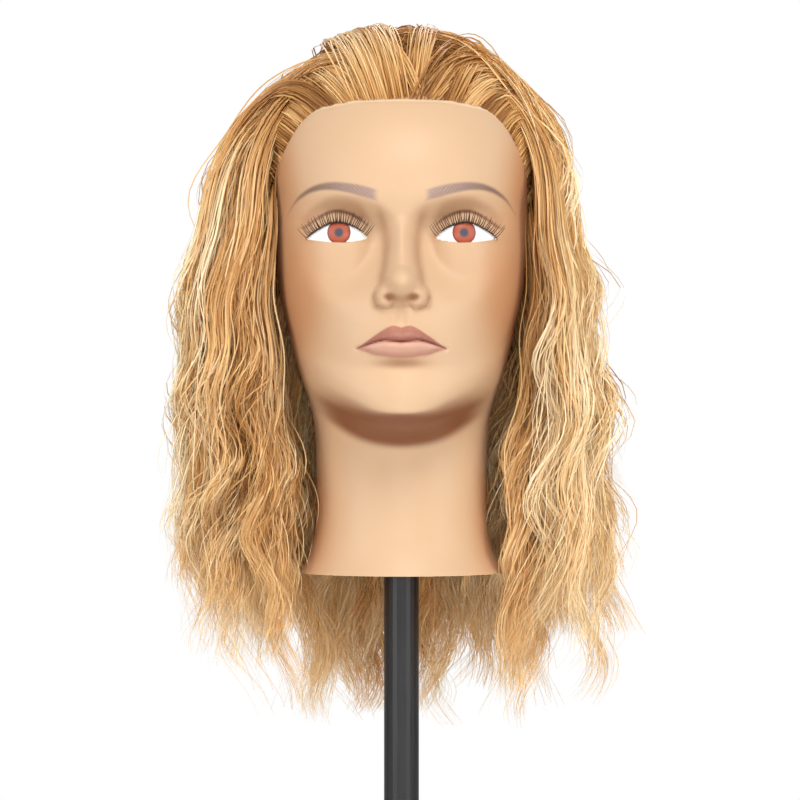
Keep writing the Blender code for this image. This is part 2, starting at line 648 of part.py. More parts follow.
def build_tilt_joint():
    """The fork on the clamp, and the tongue with the sleeve that holds the pole."""
    low = JAW_TOP + GAP
    cheek, slot = 15.3, 9.3
    base = slab("tilt_fork", ((-cheek, -20), (cheek, -20), (cheek, 20), (-cheek, 20)), low, low + 5, black_steel(), "Z")
    side = [(-14, low + 2), (14, low + 2)] + arc(0, TILT_HEIGHT, 14, 0, 180, 13)
    for sign, word in ((-1, "left"), (1, "right")):
        ends = sorted((sign * slot, sign * cheek))
        join(base, slab(f"fork_cheek_{word}", side, ends[0], ends[1], black_steel()))
    hole = rod("tilt_hole", BOLT_RADIUS + GAP, -40, 40, bright_steel(), "X", at=(0, 0, TILT_HEIGHT))
    cut(base, hole)
    for y in (-16.5, 16.5):
        cut(base, rod(f"fork_screw_hole_{y}", 2.3, low - 4, low + 9, bright_steel(), at=(0, y, 0)))

    tongue = [*arc(0, TILT_HEIGHT, 13.7, 180, 360, 13), (13.7, SLEEVE_BOTTOM + 2), (-13.7, SLEEVE_BOTTOM + 2)]
    sleeve = slab("pole_sleeve", tongue, -9, 9, black_steel())
    floor = POLE_BOTTOM - 10
    cup = (
        (0, SLEEVE_BOTTOM),
        (SLEEVE_RADIUS - 1.5, SLEEVE_BOTTOM),
        (SLEEVE_RADIUS, SLEEVE_BOTTOM + 1.5),
        (SLEEVE_RADIUS, SLEEVE_TOP - 1),
        (SLEEVE_RADIUS - 1, SLEEVE_TOP),
        (0, SLEEVE_TOP),
    )
    join(sleeve, turned("sleeve_body", cup, black_steel()))
    join(sleeve, rod("sleeve_boss", 8, 10, 21, black_steel(), "X", at=(0, 0, 108)))
    cut(sleeve, rod("sleeve_bore", POLE_RADIUS + GAP, floor, SLEEVE_TOP + 10, black_steel(), chamfer=0.1, segments=48))
    cut(sleeve, rod("stud_hole", STUD_RADIUS + GAP, 4, 30, bright_steel(), "X", at=(0, 0, 108)))
    cut(sleeve, hole)

    bolt = rod("tilt_bolt", BOLT_RADIUS, -20, 32, bright_steel(), "X", at=(0, 0, TILT_HEIGHT))
    join(bolt, slab("bolt_head", hexagon(7.5, 0, TILT_HEIGHT), -21, -cheek - GAP, bright_steel()))
    tube("tilt_washer", 9, BOLT_RADIUS + GAP, cheek + GAP, cheek + 2, bright_steel(), "X", at=(0, 0, TILT_HEIGHT))
    lobed_knob("tilt_knob", 17, cheek + 2 + GAP, 36, BOLT_RADIUS + GAP, (0, 0, TILT_HEIGHT))

    rod("height_stud", STUD_RADIUS, POLE_RADIUS + GAP, 33, bright_steel(), "X", at=(0, 0, 108))
    lobed_knob("height_knob", 13, 23, 37, STUD_RADIUS + GAP, (0, 0, 108))


def clamp_outline():
    """The C-shaped frame seen from the side, as (y, z) points with rounded corners."""
    top, under = JAW_TOP, PAD_THICKNESS + GAP
    outer, inner = 9.0, 6.0
    return (
        [(UPPER_JAW_TIP, top)]
        + arc(SPINE_FRONT + outer, top - outer, outer, 90, 180, 5)
        + arc(SPINE_FRONT + outer, LOWER_JAW_BOTTOM + outer, outer, 180, 270, 5)
        + [(LOWER_JAW_TIP, LOWER_JAW_BOTTOM), (LOWER_JAW_TIP, LOWER_JAW_TOP)]
        + arc(SPINE_BACK + inner, LOWER_JAW_TOP + inner, inner, 270, 180, 4)
        + arc(SPINE_BACK + inner, under - inner, inner, 180, 90, 4)
        + [(UPPER_JAW_TIP, under)]
    )


def build_clamp():
    half = CLAMP_WIDTH / 2
    frame = slab("clamp_frame", clamp_outline(), -half, half, black_steel(), "X", bevel=1.2)
    nut = 10.0
    cut(frame, rod("nut_cutter", nut + GAP, LOWER_JAW_BOTTOM - 5, LOWER_JAW_TOP + 5, bright_steel(), at=(0, SCREW_Y, 0)))
    for y in (-16.5, 16.5):
        cut(frame, rod(f"frame_screw_hole_{y}", 2.3, JAW_TOP - 10, JAW_TOP + 5, bright_steel(), at=(0, y, 0)))
        head = JAW_TOP + GAP + 5 + GAP
        outline = (
            (0, JAW_TOP - 9),
            (2, JAW_TOP - 9),
            (2, head),
            (2.9, head),
            (2.9, head + 1.8),
            (2.1, head + 2.4),
            (0, head + 2.4),
        )
        word = "front" if y < 0 else "back"
        turned(f"fork_screw_{word}", outline, bright_steel(), at=(0, y, 0), segments=16)
    pad = ((-half, SPINE_BACK + 8), (half, SPINE_BACK + 8), (half, UPPER_JAW_TIP), (-half, UPPER_JAW_TIP))
    slab("jaw_pad", pad, 0, PAD_THICKNESS, rubber(), "Z", bevel=0.8)
    tube("thread_insert", nut, SCREW_RADIUS + GAP, LOWER_JAW_BOTTOM, LOWER_JAW_TOP,
         material("brass", (0.72, 0.52, 0.2), 0.3, 1.0), at=(0, SCREW_Y, 0))


def build_clamp_screw():
    rod("pad_rubber", 14, PAD_FACE - 3, PAD_FACE, rubber(), at=(0, SCREW_Y, 0))
    top = PAD_FACE - 3 - GAP
    seat = top - 2.5
    ball = SCREW_RADIUS + GAP
    disc = (
        (0, seat),
        (ball, seat),
        (ball, top - 8),
        (ball + 3, top - 8),
        (15, top - 4),
        (15, top),
        (0, top),
    )
    turned("pressure_disc", disc, bright_steel(), at=(0, SCREW_Y, 0))
    shaft = (
        (0, SCREW_HUB_BOTTOM),
        (8, SCREW_HUB_BOTTOM),
        (9, SCREW_HUB_BOTTOM + 1),
        (9, SCREW_HUB_TOP - 1),
        (8, SCREW_HUB_TOP),
        (SCREW_RADIUS, SCREW_HUB_TOP),
        (SCREW_RADIUS, seat - 3),
        (SCREW_RADIUS - 2, seat - GAP),
        (0, seat - GAP),
    )
    screw = turned("clamp_screw", shaft, bright_steel(), at=(0, SCREW_Y, 0))
    height = (SCREW_HUB_TOP + SCREW_HUB_BOTTOM) / 2
    half = BAR_LENGTH / 2
    cut(screw, rod("bar_hole", BAR_RADIUS + GAP, -20, 20, bright_steel(), "X", at=(0, SCREW_Y, height)))
    rod("tommy_bar", BAR_RADIUS, -half, half, bright_steel(), "X", at=(0, SCREW_Y, height), segments=20)
    for sign, word in ((-1, "left"), (1, "right")):
        mouth = half - 8
        outline = [(0, half + GAP), (BAR_RADIUS + GAP, half + GAP), (BAR_RADIUS + GAP, mouth), (5, mouth)]
        outline += [(5, half + 2), (4, half + 4.5), (2, half + 5.5), (0, half + 5.5)]
        turned(f"bar_cap_{word}", [(r, sign * h) for r, h in outline], black_plastic(), "X",
               at=(0, SCREW_Y, height), segments=20)


def main():
    clear_scene()
    build_head()
    build_hair()
    build_pole()
    build_tilt_joint()
    build_clamp()
    build_clamp_screw()


main()
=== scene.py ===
# %% [markdown]
# # A mannequin training head
# This is the head that hairdressers practise on: a soft vinyl face with real-looking rooted hair, on a
# pole that tilts, slides and turns in a clamp for a table's edge. The exact solids and joints come from
# the frame. This lesson gives every piece its finish, and makes the face, the eyes, the lashes and the
# hair anew, because those need far finer shapes than the solids that stand in for them.

import math

import bmesh
import bpy
import numpy as np
from mathutils import Matrix, Vector


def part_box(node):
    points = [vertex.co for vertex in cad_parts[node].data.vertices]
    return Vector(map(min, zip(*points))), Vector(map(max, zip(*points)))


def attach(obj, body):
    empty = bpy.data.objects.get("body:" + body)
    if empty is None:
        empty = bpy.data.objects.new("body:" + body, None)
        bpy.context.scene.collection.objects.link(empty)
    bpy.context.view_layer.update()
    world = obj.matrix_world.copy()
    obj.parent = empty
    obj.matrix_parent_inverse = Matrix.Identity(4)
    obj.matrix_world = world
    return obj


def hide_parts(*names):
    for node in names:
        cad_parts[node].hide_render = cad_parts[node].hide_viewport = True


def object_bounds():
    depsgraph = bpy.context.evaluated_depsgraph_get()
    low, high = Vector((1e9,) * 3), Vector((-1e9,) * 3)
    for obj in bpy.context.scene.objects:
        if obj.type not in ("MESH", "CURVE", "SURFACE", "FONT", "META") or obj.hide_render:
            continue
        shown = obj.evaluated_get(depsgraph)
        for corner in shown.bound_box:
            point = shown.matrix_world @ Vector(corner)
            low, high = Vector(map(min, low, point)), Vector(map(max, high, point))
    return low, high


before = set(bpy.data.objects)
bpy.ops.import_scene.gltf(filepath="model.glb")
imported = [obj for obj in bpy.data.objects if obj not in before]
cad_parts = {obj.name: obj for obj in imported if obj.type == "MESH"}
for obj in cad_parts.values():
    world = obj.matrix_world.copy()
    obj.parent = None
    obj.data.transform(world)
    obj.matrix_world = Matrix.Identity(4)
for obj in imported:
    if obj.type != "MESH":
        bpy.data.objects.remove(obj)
cad_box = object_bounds()
MM = 0.001
scene = bpy.context.scene
rng = np.random.default_rng(7)
NECK_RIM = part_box("head_shell")[0].z / MM  # the height of the neck's lower rim, in millimetres
print("frame loaded:", len(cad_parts), "nodes, neck rim at", round(NECK_RIM, 1), "mm")

# %% [markdown]
# ## Camera, floor and light
# The head is seen from straight in front, at the height of its chin, from far enough away that the
# face isn't distorted. The world is white where the camera looks past the object, and much dimmer as
# a light, so a big soft light near the camera can model the face and leave its sides in shade.

# %% Camera
DISTANCE = 2.2
VIEW_WIDTH = 0.436
camera_data = bpy.data.cameras.new("front_camera")
camera_data.lens = camera_data.sensor_width * DISTANCE / VIEW_WIDTH
camera = bpy.data.objects.new("front_camera", camera_data)
camera.location = (-0.0008, -DISTANCE, (NECK_RIM + 94) * MM)
camera.rotation_euler = (math.pi / 2, 0, 0)
scene.collection.objects.link(camera)
scene.camera = camera
scene.view_settings.view_transform = "Standard"
print("camera lens", round(camera_data.lens, 1), "mm")


# %% Node helper
def nodes_of(owner):
    """Turns nodes on and returns the node tree and a function that adds a node with settings."""
    owner.use_nodes = True
    tree = owner.node_tree

    def add(kind, inputs=(), **settings):
        made = tree.nodes.new("ShaderNode" + kind)
        for key, value in settings.items():
            setattr(made, key, value)
        for key, value in dict(inputs).items():
            if isinstance(value, bpy.types.NodeSocket):
                tree.links.new(value, made.inputs[key])
            else:
                made.inputs[key].default_value = value
        return made

    return tree, add


# %% White world
world = bpy.data.worlds.new("studio")
scene.world = world
tree, add = nodes_of(world)
tree.nodes.clear()
height = add("SeparateXYZ", {0: add("TexCoord").outputs["Generated"]}).outputs["Z"]
DIM_TO_BRIGHT = {"From Min": -0.5, "From Max": 0.2, "To Min": 0.08, "To Max": 0.5}
glow = add("MapRange", {"Value": height, **DIM_TO_BRIGHT}).outputs[0]
lit = add("Background", {"Color": (1, 1, 1, 1), "Strength": glow})
seen = add("Background", {"Color": (1, 1, 1, 1), "Strength": 1.0})
ray = add("LightPath")
both = add("MixShader", {0: ray.outputs["Is Camera Ray"], 1: lit.outputs[0], 2: seen.outputs[0]})
add("OutputWorld", {"Surface": both.outputs[0]})
print("world is white to the camera and dim as a light")


# %% Soft lights
def soft_light(name, place, target, size, power):
    data = bpy.data.lights.new(name, "AREA")
    data.shape = "RECTANGLE"
    data.size, data.size_y = size
    data.energy = power
    light = bpy.data.objects.new(name, data)
    light.location = place
    light.rotation_euler = (Vector(target) - Vector(place)).to_track_quat("-Z", "Y").to_euler()
    scene.collection.objects.link(light)


FACE = (0, -0.08, (NECK_RIM + 160) * MM)
soft_light("key", (0.22, -1.45, FACE[2] + 1.25), FACE, (0.7, 0.7), 18.5)
soft_light("fill_left", (-1.4, -1.0, FACE[2] + 0.1), FACE, (0.5, 1.2), 10)
soft_light("fill_right", (1.4, -1.0, FACE[2] + 0.1), FACE, (0.5, 1.2), 9.5)
soft_light("front_fill", (0, -2.1, FACE[2] - 0.25), (0, 0, FACE[2] - 0.15), (0.6, 0.6), 8)
soft_light("hair_light", (0.3, 1.3, FACE[2] + 1.1), FACE, (1.0, 0.6), 8)
print("five soft lights")

# %% Pale floor
bm = bmesh.new()
bmesh.ops.create_circle(bm, cap_ends=True, segments=96, radius=2.0)
bmesh.ops.translate(bm, verts=bm.verts, vec=(0, 0, cad_box[0][2] - 0.002))
floor_mesh = bpy.data.meshes.new("floor")
bm.to_mesh(floor_mesh)
bm.free()
floor = bpy.data.objects.new("floor", floor_mesh)
scene.collection.objects.link(floor)
pale = bpy.data.materials.new("pale_floor")
tree, add = nodes_of(pale)
shader = tree.nodes["Principled BSDF"]
shader.inputs["Base Color"].default_value = (0.84, 0.84, 0.84, 1)
shader.inputs["Roughness"].default_value = 0.9
coordinate = add("TexCoord")
distance = add("VectorMath", {0: coordinate.outputs["Object"]}, operation="LENGTH")
FADE_OUT = {"From Min": 0.7, "From Max": 1.9, "To Min": 1, "To Max": 0}
fade = add("MapRange", {"Value": distance.outputs["Value"], **FADE_OUT})
tree.links.new(fade.outputs[0], shader.inputs["Alpha"])
floor_mesh.materials.append(pale)
print("floor at", round(cad_box[0][2], 3), "m")

# %% [markdown]
# ## The head's shape
# A vinyl head is cast in a mould, so it is one smooth skin. Here it starts as a ball of rings and
# columns, which bmesh makes in one call. Each ring is then laid on a slanting oval section of the head,
# and small functions push the nose, lips, cheeks and eye sockets out of it or into it. Shaping with
# functions keeps both halves alike and lets the same shape be made as fine as needed.

# %% Curves and bumps
def spline(x, knots, values):
    """A smooth curve through the points (knots, values), read at x."""
    knots, values = np.asarray(knots, float), np.asarray(values, float)
    slopes = np.gradient(values, knots)
    x = np.clip(x, knots[0], knots[-1])
    i = np.clip(np.searchsorted(knots, x) - 1, 0, len(knots) - 2)
    h = knots[i + 1] - knots[i]
    t = (x - knots[i]) / h
    return (
        (2 * t**3 - 3 * t**2 + 1) * values[i]
        + (t**3 - 2 * t**2 + t) * h * slopes[i]
        + (3 * t**2 - 2 * t**3) * values[i + 1]
        + (t**3 - t**2) * h * slopes[i + 1]
    )


def step(x, low, high):
    """0 below low, 1 above high, and a smooth rise between."""
    t = np.clip((x - low) / (high - low), 0, 1)
    return t * t * (3 - 2 * t)


def bell(x, z, cx, cz, wx, wz):
    """A round bump of height 1 at (cx, cz)."""
    return np.exp(-(((x - cx) / wx) ** 2) - ((z - cz) / wz) ** 2)


def dome(x, z, cx, cz, rx, rz, height):
    """The height of an oval cap, which falls away below zero outside it."""
    d = ((x - cx) / rx) ** 2 + ((z - cz) / rz) ** 2
    return np.where(d < 1, height * np.sqrt(np.maximum(1 - d, 0)), -6 * (np.sqrt(d) - 1))


def smooth_max(a, b, k):
    """The larger of a and b, with the corner between them rounded over about k."""
    h = np.clip(0.5 + 0.5 * (a - b) / k, 0, 1)
    return b + (a - b) * h + k * h * (1 - h)


# %% The head's sections, from the neck's rim to the crown: front y, front z, back y, back z
SECTIONS = np.array(
    (
        (-52.0, 0.0, 58.0, 0.0), (-47.5, 12.0, 52.0, 13.0), (-45.0, 30.0, 49.0, 32.0),
        (-44.0, 50.0, 49.5, 56.0), (-45.0, 65.0, 53.0, 78.0), (-51.0, 73.0, 59.0, 96.0),
        (-64.0, 77.0, 67.0, 112.0), (-78.0, 80.0, 74.0, 125.0), (-86.5, 86.0, 79.0, 136.0),
        (-89.5, 94.5, 83.0, 146.0), (-87.5, 108.0, 87.0, 158.0), (-89.0, 124.0, 90.0, 170.0),
        (-90.0, 143.0, 92.0, 186.0), (-88.0, 165.0, 92.5, 202.0), (-86.0, 187.0, 91.0, 217.0),
        (-88.0, 203.0, 88.0, 229.0), (-86.5, 220.0, 83.0, 241.0), (-80.0, 237.0, 75.0, 252.0),
        (-67.5, 253.0, 62.0, 264.0), (-49.0, 268.0, 45.0, 274.5), (-26.0, 280.5, 24.0, 282.5),
        (0.0, 285.0, 0.0, 285.0),
    )
)
LAST = len(SECTIONS) - 1
WIDTH_Z = (
    0, 6, 15, 30, 50, 70, 80, 88, 98, 109, 120, 134,
    153, 175, 190, 205, 220, 235, 250, 262, 272, 280, 285,
)
WIDTH_X = (
    55.5, 52, 48.8, 46.6, 46.4, 47, 47.7, 49, 52, 55.5, 58.6, 62,
    66, 68.5, 69.5, 70.5, 71, 69, 63.5, 55, 43.5, 28, 0,
)


def plain_head(ring, angle):
    """The head without its features, at a ring number and an angle from the front towards +X."""
    rings = np.arange(LAST + 1)
    front_y, front_z, back_y, back_z = (spline(ring, rings, SECTIONS[:, k]) for k in range(4))
    depth = np.maximum(back_y - front_y, 1e-6)
    centre = front_y + depth * spline(ring, (0, 5, 9, 14, 18, 21), (0.5, 0.5, 0.53, 0.5, 0.52, 0.5))
    side_z = front_z + (back_z - front_z) * (centre - front_y) / depth
    width = np.where(ring > LAST - 0.001, 0, np.maximum(spline(side_z, WIDTH_Z, WIDTH_X), 0))
    fullness = spline(ring, (0, 4, 7, 9, 12, 16, 21), (2.0, 2.0, 1.95, 2.0, 2.12, 2.15, 2.0))
    power = 2 / np.where(np.cos(angle) > 0, fullness, 2.0)
    across, along = np.sin(angle), np.cos(angle)
    x = width * np.sign(across) * np.abs(across) ** power
    reach = np.where(along > 0, centre - front_y, back_y - centre)
    y = centre - reach * np.sign(along) * np.abs(along) ** power
    jaw = 20 * np.exp(-(((ring - 8) / 2.9) ** 2)) * across**2 * np.maximum(along, 0)
    return x, y, front_z + (back_z - front_z) * (y - front_y) / depth + jaw


print("plain head:", LAST + 1, "sections")


# %% Nose and lips
def nose(ax, z):
    """How far the nose stands out from the face."""
    heights = (140, 142, 145, 149, 153, 158, 165, 175, 183, 189, 196)
    ridge = spline(z, heights, (-4, 0, 6, 13, 16.5, 16.5, 12, 7, 3.4, 0.8, -3))
    breadth = spline(z, (144, 153, 160, 168, 180, 190), (3.0, 2.8, 2.8, 3.0, 4.0, 5.0))
    bridge = ridge - (ax / breadth) ** 2
    tip = dome(ax, z, 0, 157.0, 8.6, 8.4, 19.0)
    wing = dome(ax, z, 8.8, 148.8, 5.9, 6.9, 8.6)
    shape = smooth_max(smooth_max(bridge, tip, 4.0), wing, 4.2)
    shape = smooth_max(shape, 0, 1.8) - 0.45
    return np.maximum(shape, 0) - 2.6 * bell(ax, z, 6.2, 147.0, 3.2, 2.0)


def mouth_line(ax):
    return spline(ax, (0, 5, 9, 14, 19, 24), (124.4, 124.9, 125.2, 124.2, 122.5, 120.7))


def lip_heights(ax):
    """How far the upper lip reaches above the line between the lips, and the lower lip below it."""
    upper = spline(ax, (0, 2.5, 4.6, 9, 14, 19, 23.8), (7.5, 8.1, 8.1, 5.9, 3.6, 1.8, 0.3))
    lower = spline(ax, (0, 8, 14, 19, 23.8), (8.7, 8.7, 6.8, 3.3, 0.3))
    return upper, lower


def lips(ax, z):
    """How far the lips stand out, with the line between them."""
    line = mouth_line(ax)
    upper, lower = lip_heights(ax)
    reach = spline(ax, (0, 8, 16, 21, 24.5), (5.2, 4.8, 3.2, 1.4, 0.0))
    t = np.where(z > line, (z - line) / upper, (line - z) / lower)
    full = np.sin(np.pi * np.clip(t * 0.62 + 0.34, 0, 1)) ** 1.2
    body = reach * np.where(t < 1.05, full, 0) * step(24.8 - ax, 0, 2)
    return body - 2.2 * np.exp(-(((z - line) / 0.9) ** 2)) * step(25.5 - ax, 0, 4)


# %% The hairline
HAIR_CENTRE = np.array((0.0, 2.0, 190.0))
HAIRLINE_TURN = (0, 27, 45, 55, 66, 72, 78, 90, 110, 140, 180)
HAIRLINE_RISE = (42, 41, 37, 27, 15, 4, -8, -22, -35, -45, -50)


def hair_edge(place):
    """How far above the hairline a point is, in degrees seen from the middle of the head."""
    x, y, z = np.moveaxis(place - HAIR_CENTRE, -1, 0)
    turn = np.degrees(np.arctan2(np.abs(x), -y))
    return np.degrees(np.arctan2(z, np.hypot(x, y))) - spline(turn, HAIRLINE_TURN, HAIRLINE_RISE)


# %% Eye sockets
FACE_FRONT = -20  # points deeper in the head than this take no feature of the eyes, lips or brows
EYE_CENTRE, EYE_RADII = (27.6, -13.6, 181.8), (40.0, 60.0, 33.0)
LID = 1.2  # how thick the lids are in front of the eye
EYE_POCKET = -48  # the depth of the hollow behind the eyes
ALMOND_X = (17.2, 22.0, 27.3, 32.5, 37.8, 43.0, 47.2, 51.2)
ALMOND_TOP = (179.3, 183.3, 186.0, 187.3, 186.8, 184.4, 181.9, 179.0)
ALMOND_BOTTOM = (179.1, 177.8, 177.1, 176.8, 177.1, 177.7, 178.2, 178.8)


def eye_front(ax, z):
    """The depth (y) of the eye's surface, and how much a point belongs to the eye's socket."""
    cx, cy, cz = EYE_CENTRE
    rx, ry, rz = EYE_RADII
    inside = np.maximum(1 - ((ax - cx) / rx) ** 2 - ((np.clip(z, 177, 190) - cz) / rz) ** 2, 0.2)
    share = np.sqrt(((ax - 34.2) / 20.0) ** 2 + ((z - 182.0) / np.where(z < 182, 24.0, 11.5)) ** 2)
    return cy - ry * np.sqrt(inside), (1 - step(share, 0.88, 1.95)) ** 2


def snap_to_lids(ax, y, z):
    """Moves the points next to a lid's edge onto it, so that the edge is a clean curve."""
    near = (ax > ALMOND_X[0]) & (ax < ALMOND_X[-1]) & (y < FACE_FRONT)
    for edge in (ALMOND_TOP, ALMOND_BOTTOM):
        gap = z - spline(ax, ALMOND_X, edge)
        z = np.where(near & (np.abs(gap) < 0.42), z - gap, z)
    return z


def face(ring, angle):
    """The skin's outer surface with the face's features."""
    x, y, z = plain_head(ring, angle)
    ax = np.abs(x)
    facing = step(-y, 5, 30) * step(z, 72, 90)
    out = nose(ax, z) + lips(ax, z)
    out += 2.4 * bell(ax, z, 0, 128, 21, 17)
    out += 2.2 * bell(ax, z, 46, 163, 15, 13) - 2.0 * bell(ax, z, 47, 132, 11, 14)
    out += 1.8 * bell(ax, z, 25, 202, 17, 7) - 1.6 * bell(ax, z, 61, 200, 10, 16)
    out += 1.0 * bell(ax, z, 0, 99, 12, 8) + 3.6 * bell(ax, z, 0, 84, 16, 8)
    out -= 1.6 * bell(ax, z, 0, 111.5, 14, 4)
    out -= 0.9 * bell(ax, z, 0, 137.5, 2.4, 5) - 0.5 * bell(ax, z, 4.6, 137, 1.8, 5)
    y = y - out * facing
    z = snap_to_lids(ax, y, z)
    eye_y, socket = eye_front(ax, z)
    top, bottom = spline(ax, ALMOND_X, ALMOND_TOP), spline(ax, ALMOND_X, ALMOND_BOTTOM)
    within = (ax > ALMOND_X[0]) & (ax < ALMOND_X[-1]) & (y < FACE_FRONT)
    opening = (z < top - 0.02) & (z > bottom + 0.02) & within
    crease = 1.0 * np.exp(-(((z - top - 5.6) / 1.0) ** 2)) * step(ax, 17, 24) * (1 - step(ax, 46, 54))
    y = y + (eye_y - LID + crease - y) * socket * (y < FACE_FRONT)
    place = np.stack((x, np.where(opening, eye_y + 2.5, y), z), axis=-1)
    sunk = 0.012 * step(hair_edge(place), 0.0, 0.9)[..., None]
    return tuple(np.moveaxis(place + (HAIR_CENTRE - place) * sunk, -1, 0))


def inner_wall(ring, angle):
    """The skin's inner side, which is set back behind the eyes."""
    x, y, z = plain_head(ring, angle)
    off_eye = np.hypot((np.abs(x) - 30) / 34, (z - 182) / 27)
    hollow = step(-y, 20, 40) * (1 - step(off_eye, 0.8, 1.1))
    return x, y + (EYE_POCKET - y) * hollow, z


# %% Laying a ball of points on the head
def head_points(ring, angle, surface, lift=0.0):
    """Points of a surface in metres, moved outwards by lift."""
    points = np.stack(surface(ring, angle), axis=-1)
    if lift:
        points = points + lift * outward(ring, angle)
        points[..., 2] = np.maximum(points[..., 2], 0)
    return (points + (0, 0, NECK_RIM)) * MM


def outward(ring, angle):
    """Unit normals of the plain head, pointing out."""
    ring = np.clip(ring, 0.01, LAST - 0.02)
    here = np.stack(plain_head(ring, angle), axis=-1)
    along = np.stack(plain_head(ring + 0.01, angle), axis=-1) - here
    around = np.stack(plain_head(ring, angle + 0.01), axis=-1) - here
    normal = np.cross(around, along)
    return normal / np.maximum(np.linalg.norm(normal, axis=-1, keepdims=True), 1e-9)


def lay_ball(bm, columns, rows, surface, lift=0.0):
    """Adds a ball of points laid over the head, closer together on the face, and open at the neck."""
    verts = bmesh.ops.create_uvsphere(bm, u_segments=columns, v_segments=rows, radius=1)["verts"]
    ball = np.array([v.co for v in verts])
    share = 1 - np.arccos(np.clip(ball[:, 2], -1, 1)) / math.pi
    angle = np.arctan2(ball[:, 0], -ball[:, 1])
    share = np.clip((share * rows - 1) / (rows - 1), 0, 1)
    ring = np.interp(share, (0, 0.07, 0.14, 0.19, 0.42, 0.74, 0.86, 1), (0, 4, 8, 9, 12, 15, 17, LAST))
    points = head_points(ring, angle - 0.62 * np.sin(angle), surface, lift)
    for vert, point in zip(verts, points):
        vert.co = point
    lower = min((v for v in verts if len(v.link_edges) == columns), key=lambda v: v.co.z)
    bmesh.ops.delete(bm, geom=[lower], context="VERTS")


def new_object(bm, name, smooth_angle=None):
    """Turns a bmesh into an object, smooth-shaded but for edges sharper than the angle in degrees."""
    mesh = bpy.data.meshes.new(name)
    bm.to_mesh(mesh)
    bm.free()
    mesh.shade_smooth()
    if smooth_angle:
        mesh.set_sharp_from_angle(angle=math.radians(smooth_angle))
    made = bpy.data.objects.new(name, mesh)
    scene.collection.objects.link(made)
    return made


# %% The skin
bm = bmesh.new()
lay_ball(bm, 300, 250, face)
lay_ball(bm, 60, 40, inner_wall, -5.0)
bmesh.ops.bridge_loops(bm, edges=[e for e in bm.edges if e.is_boundary])
bmesh.ops.recalc_face_normals(bm, faces=bm.faces)
skin = new_object(bm, "vinyl_skin", 50)
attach(skin, "head")
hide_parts("head_shell")
print("skin:", len(skin.data.polygons), "faces")

# %% [markdown]
# ## Colouring the vinyl
# The skin is cast in one tan colour, and the lips, brows, lash line, eye shadow and a slight blush are
# airbrushed on. The colour also holds painted shade under the chin, at the sides of the face and neck,
# beside and under the nose, under the lower lip, in the lids' creases, on the upper lip and between the
# lips, and painted highlights on the lower lip and along the hairline's raised edge. An airbrush leaves
# soft edges, so each painted area is kept as a number on the mesh's points: how far inside or outside
# the painted edge a point is. The material turns that number into a soft-edged coat, which stays put
# on the surface however the head is turned.

# %% Distances to the painted edges
def brow_edge(ax, z):
    """How far inside a brow's edge a point is, in millimetres."""
    places = (13, 20, 28, 36, 44, 51, 57, 61)
    middle = spline(ax, places, (201.3, 203.3, 205.2, 206.4, 206.0, 203.4, 198.6, 192.6))
    half = spline(ax, (13, 18, 26, 36, 46, 54, 61), (3.2, 3.4, 3.2, 2.6, 1.9, 1.3, 0.4))
    slope = spline(ax, (13, 36, 48, 56, 61), (1.0, 1.0, 0.9, 0.78, 0.6))
    return np.minimum(half - np.abs(z - middle) * slope, np.minimum(0.4 * (ax - 12.4), 61.2 - ax))


def lip_edge(ax, z):
    upper, lower = lip_heights(ax)
    line = mouth_line(ax)
    return np.minimum(np.minimum(line + upper - z, z - line + lower) * 0.85, 23.8 - ax)


points = np.empty(len(skin.data.vertices) * 3, np.float32)
skin.data.vertices.foreach_get("co", points)
points = points.reshape(-1, 3) / MM - (0, 0, NECK_RIM)
side, depth, height = np.abs(points[:, 0]), points[:, 1], points[:, 2]
in_front = np.where(depth < FACE_FRONT, 0.0, -50.0)
above_lid = height - spline(side, ALMOND_X, ALMOND_TOP)
lid_span = step(side, 14, 22) * (1 - step(side, 48, 58))
normals = np.empty_like(points).ravel()
skin.data.vertices.foreach_get("normal", normals)
# the middle of the painted shade down each side of the nose
nose_side = spline(height, (146, 158, 175, 190, 202), (13.0, 10.5, 8.2, 10.5, 15.0))
